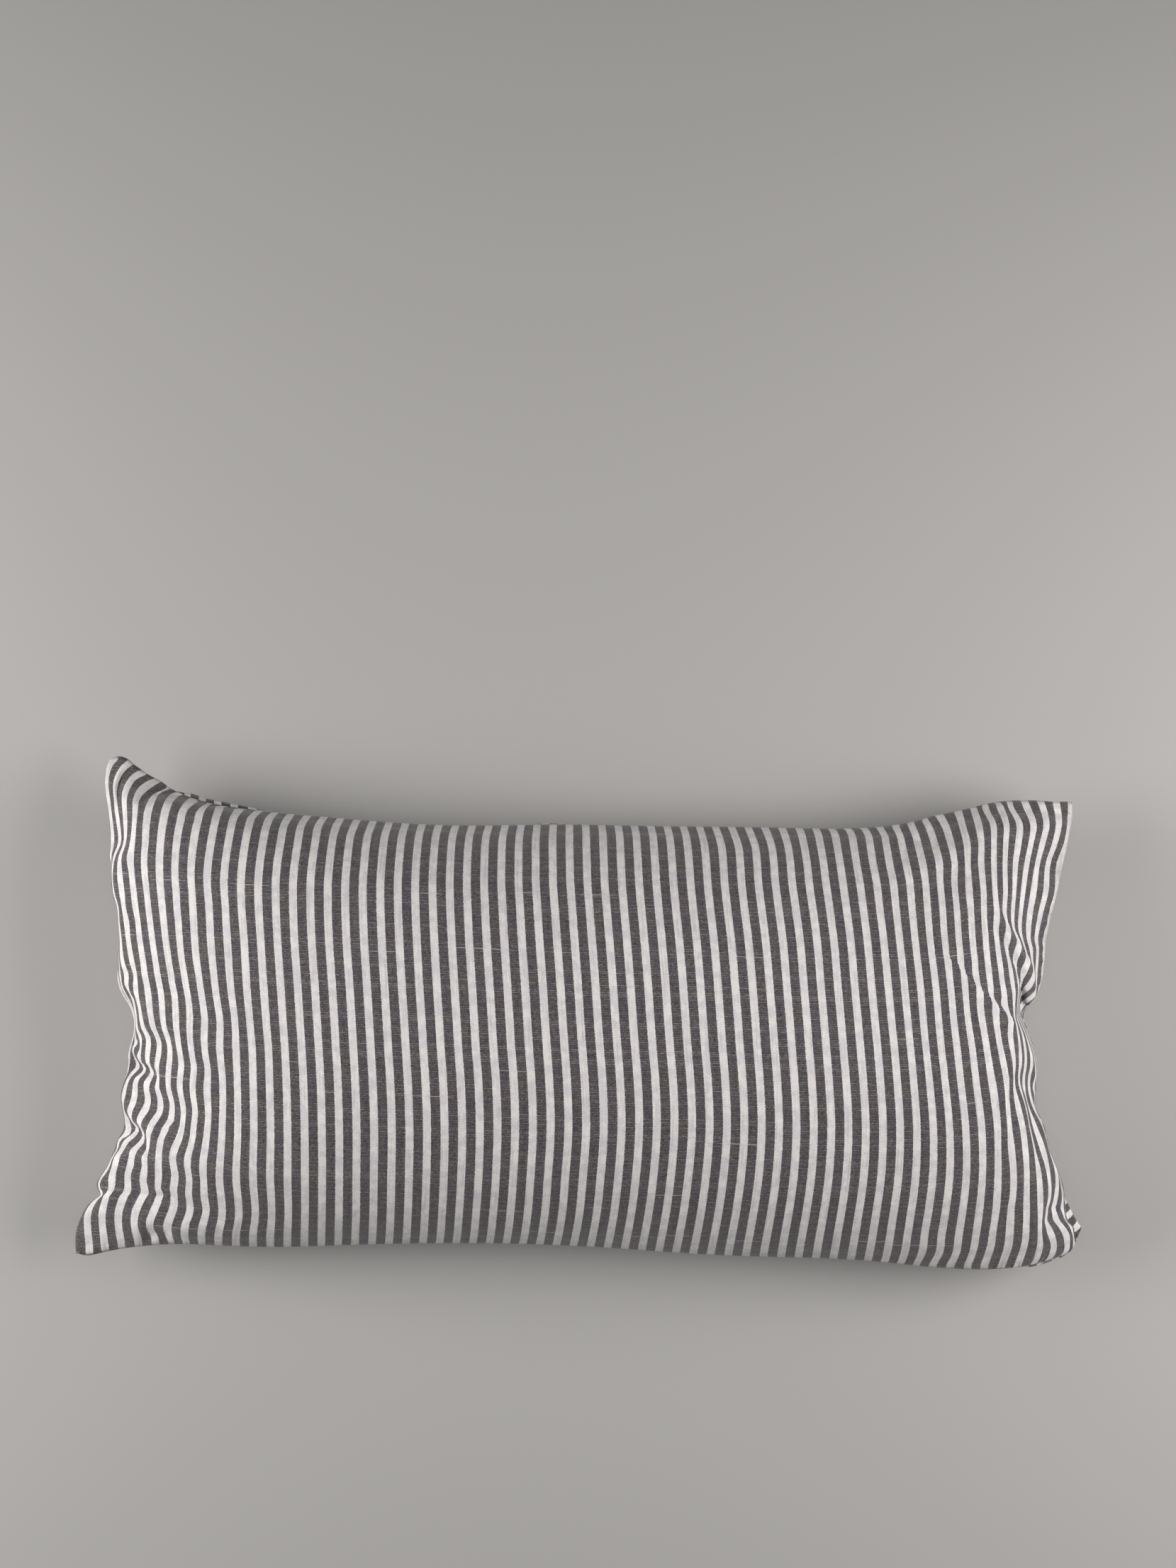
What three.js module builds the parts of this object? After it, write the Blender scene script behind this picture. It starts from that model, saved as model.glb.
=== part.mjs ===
import * as THREE from 'three';

// A filled lumbar cushion cover in woven ticking, lying on its back with its
// face up. Two rectangular panels are joined all round by one knife-edge seam,
// so the filled cover is one closed body: a crowned front, a crowned back that
// is flattened where it rests, sides drawn in between four soft ears, and the
// main creases that run in from the seam.
//
// Millimetres. +X runs along the long seams, +Y across the face towards the
// upper long seam, +Z out of the face. The origin is under the middle of the
// outline, on the plane that the cushion rests on.

// ---- driving dimensions ----------------------------------------------------
const CELLS_LONG = 60; // cells along the long seams
const CELLS_SHORT = 30; // cells across the face
const CROWN_FRONT = 55; // front crown above the sheet that the seams span
const CROWN_BACK = 84; // back crown below that sheet, before it flattens where it rests
const END_FULLNESS = 3.6; // how flat the crown runs before it rounds off at the ends
const END_ROUND = 0.72;
const SIDE_FULLNESS = 2.1; // the same, across the face
const SIDE_ROUND = 0.66;
const EAR_LENGTH = 0.16; // share of the length and of the height that an ear takes
const EAR_LEFT = 0.55; // crown that is left in the ears
const SEAM_GAP = 1.6; // cloth on cloth just inside the seam

// ---- the two long seams: a row for each section along the cushion ------------
// s is the share of the seam's length; x, y and z are the seam's place there.
const LONG_SECTIONS = [
  { s: 0.0, topX: -284, topY: 150, topZ: 36, bottomX: -297, bottomY: -140, bottomZ: 34 },
  { s: 0.03, topX: -273, topY: 151, topZ: 38, bottomX: -275, bottomY: -139, bottomZ: 36 },
  { s: 0.06, topX: -262, topY: 146, topZ: 41, bottomX: -254, bottomY: -134, bottomZ: 40 },
  { s: 0.1, topX: -238, topY: 132, topZ: 45, bottomX: -231, bottomY: -133, bottomZ: 45 },
  { s: 0.15, topX: -206, topY: 125, topZ: 48, bottomX: -200, bottomY: -136, bottomZ: 48 },
  { s: 0.22, topX: -161, topY: 117, topZ: 50, bottomX: -156, bottomY: -135, bottomZ: 49 },
  { s: 0.3, topX: -112, topY: 113, topZ: 50, bottomX: -108, bottomY: -133, bottomZ: 50 },
  { s: 0.4, topX: -51, topY: 111, topZ: 50, bottomX: -48, bottomY: -133, bottomZ: 50 },
  { s: 0.5, topX: 10, topY: 112, topZ: 50, bottomX: 13, bottomY: -135, bottomZ: 50 },
  { s: 0.6, topX: 71, topY: 110, topZ: 50, bottomX: 75, bottomY: -140, bottomZ: 50 },
  { s: 0.7, topX: 131, topY: 110, topZ: 50, bottomX: 138, bottomY: -142, bottomZ: 50 },
  { s: 0.78, topX: 179, topY: 109, topZ: 50, bottomX: 189, bottomY: -145, bottomZ: 49 },
  { s: 0.85, topX: 218, topY: 117, topZ: 48, bottomX: 232, bottomY: -149, bottomZ: 47 },
  { s: 0.9, topX: 248, topY: 124, topZ: 45, bottomX: 262, bottomY: -148, bottomZ: 43 },
  { s: 0.94, topX: 268, topY: 127, topZ: 42, bottomX: 279, bottomY: -144, bottomZ: 40 },
  { s: 0.97, topX: 283, topY: 127, topZ: 39, bottomX: 288, bottomY: -139, bottomZ: 37 },
  { s: 1.0, topX: 297, topY: 126, topZ: 36, bottomX: 297, bottomY: -128, bottomZ: 35 },
];

// ---- the two short seams: a row for each section across the face -------------
// t is the share of the seam's length, from the lower corner to the upper one.
const SHORT_SECTIONS = [
  { t: 0.0, leftX: -297, leftY: -140, leftZ: 34, rightX: 297, rightY: -128, rightZ: 35 },
  { t: 0.05, leftX: -294, leftY: -125, leftZ: 36, rightX: 290, rightY: -115, rightZ: 38 },
  { t: 0.1, leftX: -287, leftY: -112, leftZ: 40, rightX: 286, rightY: -102, rightZ: 42 },
  { t: 0.15, leftX: -282, leftY: -102, leftZ: 43, rightX: 282, rightY: -89, rightZ: 44 },
  { t: 0.2, leftX: -276, leftY: -88, leftZ: 46, rightX: 277, rightY: -76, rightZ: 46 },
  { t: 0.3, leftX: -268, leftY: -59, leftZ: 49, rightX: 269, rightY: -52, rightZ: 49 },
  { t: 0.4, leftX: -266, leftY: -29, leftZ: 50, rightX: 270, rightY: -26, rightZ: 50 },
  { t: 0.47, leftX: -261, leftY: -9, leftZ: 50, rightX: 265, rightY: -9, rightZ: 50 },
  { t: 0.52, leftX: -263, leftY: 6, leftZ: 50, rightX: 262, rightY: 3, rightZ: 50 },
  { t: 0.58, leftX: -271, leftY: 22, leftZ: 50, rightX: 271, rightY: 15, rightZ: 50 },
  { t: 0.66, leftX: -272, leftY: 47, leftZ: 49, rightX: 276, rightY: 37, rightZ: 49 },
  { t: 0.76, leftX: -277, leftY: 76, leftZ: 47, rightX: 282, rightY: 62, rightZ: 47 },
  { t: 0.85, leftX: -279, leftY: 105, leftZ: 43, rightX: 288, rightY: 87, rightZ: 44 },
  { t: 0.92, leftX: -283, leftY: 127, leftZ: 40, rightX: 293, rightY: 105, rightZ: 40 },
  { t: 1.0, leftX: -284, leftY: 150, leftZ: 36, rightX: 297, rightY: 126, rightZ: 36 },
];

// ---- the main creases of the front: a row for each fold ----------------------
// A fold runs from (x0, y0) to (x1, y1). depth is how far it sinks at its deepest
// (below zero it is a ridge), and width is how far it spreads to each side.
const FOLDS = [
  { fold: 'ear_top_left', x0: -279, y0: 92, x1: -244, y1: 132, width: 9, depth: 5 },
  { fold: 'pinch_left', x0: -277, y0: 90, x1: -252, y1: 94, width: 8, depth: 6 },
  { fold: 'waist_left', x0: -259, y0: -3, x1: -230, y1: -5, width: 11, depth: 7 },
  { fold: 'crease_left_upper', x0: -262, y0: -22, x1: -240, y1: -38, width: 7, depth: 5 },
  { fold: 'crease_left_lower', x0: -266, y0: -56, x1: -249, y1: -74, width: 7, depth: 5 },
  { fold: 'crease_lower_left', x0: -278, y0: -105, x1: -232, y1: -107, width: 8, depth: 6 },
  { fold: 'ear_lower_left', x0: -263, y0: -135, x1: -240, y1: -121, width: 8, depth: 4 },
  { fold: 'tuck_right_upper', x0: 245, y0: 62, x1: 254, y1: 31, width: 11, depth: 9 },
  { fold: 'tuck_right_lower', x0: 254, y0: 31, x1: 257, y1: 1, width: 10, depth: 9 },
  { fold: 'tuck_right_lip', x0: 262, y0: 46, x1: 268, y1: 19, width: 8, depth: -3 },
  { fold: 'crease_right_cross', x0: 214, y0: 32, x1: 251, y1: -4, width: 8, depth: 4 },
  { fold: 'pinch_right', x0: 240, y0: -1, x1: 262, y1: 0, width: 10, depth: 6 },
  { fold: 'valley_right_lower', x0: 263, y0: -53, x1: 272, y1: -125, width: 9, depth: 5 },
  { fold: 'ridge_top_right', x0: 178, y0: 74, x1: 258, y1: 112, width: 13, depth: -3 },
];

// ---- helpers -----------------------------------------------------------------
// Smooth curve through a column of a table, by cubic Hermite pieces.
function column(rows, key, name) {
  const k = rows.map((r) => r[key]);
  const v = rows.map((r) => r[name]);
  const slope = v.map((_, i) => {
    const a = Math.max(0, i - 1);
    const b = Math.min(v.length - 1, i + 1);
    return (v[b] - v[a]) / (k[b] - k[a]);
  });
  return (q) => {
    let i = 0;
    while (i < k.length - 2 && q > k[i + 1]) i++;
    const h = k[i + 1] - k[i];
    const p = Math.min(1, Math.max(0, (q - k[i]) / h));
    const p2 = p * p;
    const p3 = p2 * p;
    return (
      (2 * p3 - 3 * p2 + 1) * v[i] +
      (p3 - 2 * p2 + p) * h * slope[i] +
      (3 * p2 - 2 * p3) * v[i + 1] +
      (p3 - p2) * h * slope[i + 1]
    );
  };
}

const edge = (rows, key, side) => {
  const x = column(rows, key, `${side}X`);
  const y = column(rows, key, `${side}Y`);
  const z = column(rows, key, `${side}Z`);
  return (q) => [x(q), y(q), z(q)];
};

const top = edge(LONG_SECTIONS, 's', 'top');
const bottom = edge(LONG_SECTIONS, 's', 'bottom');
const left = edge(SHORT_SECTIONS, 't', 'left');
const right = edge(SHORT_SECTIONS, 't', 'right');

// The seam surface: a sheet spanned by the four seams.
function seamSurface(s, t) {
  const T = top(s);
  const B = bottom(s);
  const L = left(t);
  const R = right(t);
  const c00 = bottom(0);
  const c10 = bottom(1);
  const c01 = top(0);
  const c11 = top(1);
  return [0, 1, 2].map(
    (i) =>
      (1 - t) * B[i] +
      t * T[i] +
      (1 - s) * L[i] +
      s * R[i] -
      ((1 - s) * (1 - t) * c00[i] + s * (1 - t) * c10[i] + (1 - s) * t * c01[i] + s * t * c11[i]),
  );
}

// How full the filling stands at (s, t): 1 in the middle, 0 at the seam, and low
// in the ears, where the filling doesn't reach the corners.
function fullness(s, t) {
  const a = Math.pow(1 - Math.pow(Math.abs(2 * s - 1), END_FULLNESS), END_ROUND);
  const b = Math.pow(1 - Math.pow(Math.abs(2 * t - 1), SIDE_FULLNESS), SIDE_ROUND);
  const ds = Math.min(s, 1 - s) / EAR_LENGTH;
  const dt = Math.min(t, 1 - t) / (2 * EAR_LENGTH);
  const r = Math.min(1, Math.hypot(ds, dt));
  const ear = EAR_LEFT + (1 - EAR_LEFT) * r * r * (3 - 2 * r);
  return a * b * ear;
}

// Depth of the creases at a point of the face.
function creases(x, y) {
  let sum = 0;
  for (const f of FOLDS) {
    const dx = f.x1 - f.x0;
    const dy = f.y1 - f.y0;
    const p = Math.min(1, Math.max(0, ((x - f.x0) * dx + (y - f.y0) * dy) / (dx * dx + dy * dy)));
    const d = Math.hypot(x - f.x0 - p * dx, y - f.y0 - p * dy) / f.width;
    sum += f.depth * Math.exp(-d * d);
  }
  return sum;
}

// Cell lines, closer together towards the seams, where the cloth turns quickest.
const spread = (n, pull) =>
  Array.from({ length: n + 1 }, (_, i) => {
    const q = i / n;
    return q - (pull * Math.sin(2 * Math.PI * q)) / (2 * Math.PI);
  });
const S = spread(CELLS_LONG, 0.45);
const T = spread(CELLS_SHORT, 0.35);

// ---- vertices ------------------------------------------------------------------
const front = [];
const back = [];
for (let j = 0; j <= CELLS_SHORT; j++) {
  front.push([]);
  back.push([]);
  for (let i = 0; i <= CELLS_LONG; i++) {
    const [x, y, z] = seamSurface(S[i], T[j]);
    const onSeam = i === 0 || j === 0 || i === CELLS_LONG || j === CELLS_SHORT;
    if (onSeam) {
      front[j].push([x, y, z]);
      back[j].push([x, y, z]);
      continue;
    }
    const f = fullness(S[i], T[j]);
    const lower = Math.max(0, z - CROWN_BACK * f);
    const upper = Math.max(z + CROWN_FRONT * f - creases(x, y) * Math.min(1, 4 * f), lower + SEAM_GAP);
    front[j].push([x, y, upper]);
    back[j].push([x, y, lower]);
  }
}

// Centre the outline on the origin.
const box = { x0: Infinity, x1: -Infinity, y0: Infinity, y1: -Infinity };
for (const row of front)
  for (const p of row) {
    box.x0 = Math.min(box.x0, p[0]);
    box.x1 = Math.max(box.x1, p[0]);
    box.y0 = Math.min(box.y0, p[1]);
    box.y1 = Math.max(box.y1, p[1]);
  }
const midX = (box.x0 + box.x1) / 2;
const midY = (box.y0 + box.y1) / 2;

// ---- faces ---------------------------------------------------------------------
const positions = [];
const index = [];
const ids = new Map();
function vertex(side, i, j) {
  const onSeam = i === 0 || j === 0 || i === CELLS_LONG || j === CELLS_SHORT;
  const key = `${onSeam ? 'seam' : side}:${i}:${j}`;
  if (!ids.has(key)) {
    const p = (side === 'back' ? back : front)[j][i];
    ids.set(key, positions.length / 3);
    positions.push(p[0] - midX, p[1] - midY, p[2]);
  }
  return ids.get(key);
}

// The resting patch: the largest block of back cells, grown evenly from the
// middle, whose corners all lie on the resting plane. It is cut into few, long
// triangles, so that it is one plain flat.
const flat = (i, j) => back[j][i][2] === 0;
const patch = { i0: CELLS_LONG / 2, i1: CELLS_LONG / 2, j0: CELLS_SHORT / 2, j1: CELLS_SHORT / 2 };
const allFlat = (b) => {
  for (let j = b.j0; j <= b.j1; j++) for (let i = b.i0; i <= b.i1; i++) if (!flat(i, j)) return false;
  return true;
};
for (const grow of ['j', 'i']) {
  for (;;) {
    const next = { ...patch };
    next[`${grow}0`] -= 1;
    next[`${grow}1`] += 1;
    if (grow === 'j' && next.j1 - next.j0 > 0.42 * CELLS_SHORT) break;
    if (!allFlat(next)) break;
    Object.assign(patch, next);
  }
}

for (let j = 0; j < CELLS_SHORT; j++) {
  for (let i = 0; i < CELLS_LONG; i++) {
    // each cell is cut along the diagonal that runs towards the nearer corner
    const lean = i < CELLS_LONG / 2 === j < CELLS_SHORT / 2;
    const quad = (side) => [vertex(side, i, j), vertex(side, i + 1, j), vertex(side, i + 1, j + 1), vertex(side, i, j + 1)];
    const [a, b, c, d] = quad('front');
    if (lean) index.push(a, b, c, a, c, d);
    else index.push(a, b, d, b, c, d);
    if (i >= patch.i0 && i < patch.i1 && j >= patch.j0 && j < patch.j1) continue;
    const [e, f, g, h] = quad('back');
    if (lean) index.push(e, g, f, e, h, g);
    else index.push(e, h, f, f, h, g);
  }
}

// Fill the resting patch from its outline.
const ring = [];
for (let i = patch.i0; i < patch.i1; i++) ring.push([i, patch.j0]);
for (let j = patch.j0; j < patch.j1; j++) ring.push([patch.i1, j]);
for (let i = patch.i1; i > patch.i0; i--) ring.push([i, patch.j1]);
for (let j = patch.j1; j > patch.j0; j--) ring.push([patch.i0, j]);
const outline = ring.map(([i, j]) => new THREE.Vector2(back[j][i][0], back[j][i][1]));
for (const [a, b, c] of THREE.ShapeUtils.triangulateShape(outline, [])) {
  const [p, q, r] = [a, b, c].map((k) => vertex('back', ring[k][0], ring[k][1]));
  index.push(p, r, q);
}

const geometry = new THREE.BufferGeometry();
geometry.setAttribute('position', new THREE.Float32BufferAttribute(positions, 3));
geometry.setIndex(index);
geometry.computeVertexNormals();

const ticking = new THREE.MeshStandardMaterial({ name: 'ticking', color: 0x8f8b8a, roughness: 0.92, metalness: 0 });
const cushion = new THREE.Mesh(geometry, ticking);
cushion.name = 'cushion';

const lumbarCushion = new THREE.Group();
lumbarCushion.add(cushion);
export default lumbarCushion;
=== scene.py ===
import math
import bpy
import numpy as np
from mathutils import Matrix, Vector


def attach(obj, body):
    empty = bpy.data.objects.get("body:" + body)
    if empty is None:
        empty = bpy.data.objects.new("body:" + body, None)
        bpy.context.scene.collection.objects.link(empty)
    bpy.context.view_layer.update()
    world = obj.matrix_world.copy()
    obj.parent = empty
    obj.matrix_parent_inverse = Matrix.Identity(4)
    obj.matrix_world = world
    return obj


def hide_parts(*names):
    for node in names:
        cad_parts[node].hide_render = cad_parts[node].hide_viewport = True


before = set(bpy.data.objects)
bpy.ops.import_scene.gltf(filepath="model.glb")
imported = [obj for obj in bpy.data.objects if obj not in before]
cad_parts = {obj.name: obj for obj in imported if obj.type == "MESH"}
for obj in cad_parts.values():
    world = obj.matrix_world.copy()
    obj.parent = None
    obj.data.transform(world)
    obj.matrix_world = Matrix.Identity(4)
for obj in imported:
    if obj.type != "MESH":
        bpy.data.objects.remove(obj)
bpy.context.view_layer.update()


# ---- sizes, millimetres --------------------------------------------------------
FLAT_W = 610.0  # panel between the short seams
FLAT_H = 305.0  # panel between the long seams
STRIPES = 61.4  # stripe repeats across a panel
GRAIN = 0.55  # repeats that the stripes run off the left seam from top to bottom
SEAM_Z = 47.0
TOP_Z = 128.0

# ---- camera (millimetres) --------------------------------------------------------
FOCAL = 50.0 / 36.0 * 2212.0
CX, CY = 829.5, 1106.0
TILT = math.radians(5.0)
CAM = np.array([6.06, 22.0, 1341.9])
AX = np.array([0.0, math.sin(TILT), -math.cos(TILT)])
UP = np.array([0.0, math.cos(TILT), math.sin(TILT)])


def to_px(P):
    q = P - CAM
    d = q[..., 1] * AX[1] + q[..., 2] * AX[2]
    return CX + FOCAL * q[..., 0] / d, CY - FOCAL * (q[..., 1] * UP[1] + q[..., 2] * UP[2]) / d, d


def from_px(px, py, z):
    rx = (px - CX) / FOCAL
    ry = -(py - CY) / FOCAL
    wx = rx
    wy = ry * UP[1] + AX[1]
    wz = ry * UP[2] + AX[2]
    t = (CAM[2] - z) / -wz
    return np.stack([CAM[0] + t * wx, CAM[1] + t * wy, z + 0 * px], axis=-1)


# ---- outline: a row for each section -------------------------------------------------
# upper seam: stripe number, picture x and y where that stripe meets the seam
UPPER = [
    (0.0, 155.5, 1070.5), (0.455, 168, 1066.5), (1, 181.6, 1071), (1.455, 189.5, 1077.5), (2, 200.8, 1084.5),
    (2.455, 208, 1090), (3, 219.7, 1097.5), (3.455, 229, 1105.5), (4, 236, 1114), (5, 252, 1119.5),
    (6, 270, 1127), (7, 291, 1133), (8, 314, 1137.5), (9, 337, 1140), (10, 364, 1141.7), (12, 406, 1147),
    (14, 453, 1151), (16, 499.5, 1155), (18, 544, 1160), (20, 590.5, 1163), (22, 639, 1164), (24, 684, 1166),
    (28, 775.5, 1161), (32, 866, 1165), (36, 958.5, 1166), (40, 1049, 1166), (44, 1145, 1167.5), (46, 1188, 1168),
    (48, 1234, 1169), (50, 1280, 1163), (51, 1300, 1158.5), (52, 1317, 1152), (53, 1347, 1144), (54, 1368, 1138),
    (55, 1385, 1134), (56, 1402, 1131), (57, 1418, 1128), (58, 1438, 1128), (59, 1462, 1129), (60, 1484, 1131),
    (61, 1506, 1131), (61.4, 1513, 1132),
]
LOWER = [
    (-0.55, 107, 1768), (0, 121.5, 1771), (1, 144, 1767), (2, 168, 1762.5), (3, 190.5, 1757.5), (4, 215, 1754),
    (5, 238, 1752.5), (6, 258, 1752.5), (7, 280, 1755), (8, 303, 1758), (10, 351.5, 1761), (12, 400, 1760),
    (14, 447.7, 1757), (16, 495.2, 1756), (20, 590.7, 1754), (24, 684.8, 1754), (28, 779, 1756), (32, 876, 1761),
    (36, 972.5, 1769), (40, 1071.5, 1773), (44, 1169.8, 1775), (46, 1217.8, 1776.5), (48, 1264.5, 1782),
    (50, 1309.3, 1787), (52, 1359.4, 1790), (54, 1406, 1790), (55, 1429, 1789), (56, 1453, 1788), (57, 1473, 1784),
    (58, 1495, 1773), (59, 1511, 1762), (60, 1517, 1754), (60.85, 1518, 1749),
]
# short seams: picture x, y from the top down
LEFT = [
    (155.5, 1070.5), (151, 1079), (149, 1092), (148, 1105), (149, 1120), (152, 1140), (154, 1155), (155, 1170),
    (155.5, 1190), (154.5, 1203), (153.8, 1212), (157.3, 1218), (157, 1240), (159, 1262), (165, 1282), (168, 1320), (167, 1350), (167, 1375),
    (170, 1390), (174, 1400), (187, 1421), (191, 1440), (190, 1458), (187, 1470), (184, 1482), (183, 1500),
    (180, 1514), (175, 1526), (170.5, 1546), (172, 1560), (175, 1578), (174, 1594), (166, 1608), (163, 1618),
    (158, 1630), (153, 1642), (143, 1658), (136.3, 1669), (138, 1678), (143, 1685), (134, 1691), (124, 1700),
    (113, 1720), (107.5, 1736), (106, 1750), (107, 1768),
]
RIGHT = [
    (1513, 1132), (1513, 1150), (1509, 1175), (1504, 1200), (1497, 1230), (1491, 1260), (1481, 1300), (1475, 1330),
    (1474, 1350), (1472.5, 1366), (1470, 1382), (1465, 1398), (1462, 1407), (1455, 1415), (1446.5, 1422),
    (1442.3, 1430), (1444.4, 1439), (1448.5, 1448), (1454.7, 1462), (1459, 1476), (1462, 1490), (1463.8, 1508),
    (1463.4, 1524), (1461.8, 1546), (1461.6, 1562), (1467.3, 1575), (1473.6, 1590), (1477.2, 1605), (1480.6, 1621),
    (1487, 1637), (1493, 1652), (1500, 1674), (1503, 1698), (1504.8, 1717), (1508, 1725), (1514.5, 1731),
    (1516, 1740), (1518, 1749),
]
# how far the back panel may show past the seam: picture y, px at the left; picture y, px at the right
LEFT_OVER = [(1066, 0), (1200, 0), (1366, 0.5), (1380, 2.5), (1410, 4), (1440, 2), (1470, 2), (1490, 3), (1512, 1), (1540, 0), (1770, 0)]
RIGHT_OVER = [(1130, 0), (1400, 0), (1690, 0), (1706, 7), (1716, 11), (1724, 13), (1732, 11), (1740, 7), (1749, 1), (1790, 0)]
# and above or below it: picture x, px at the top; picture x, px at the bottom
UPPER_OVER = [(140, 0), (236, 0), (252, 3), (270, 8), (291, 7), (315, 7), (336, 5), (352, 2.5), (368, 0), (1515, 0)]
LOWER_OVER = [(100, 0), (1480, 0), (1500, 3), (1515, 2), (1530, 0)]

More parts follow.
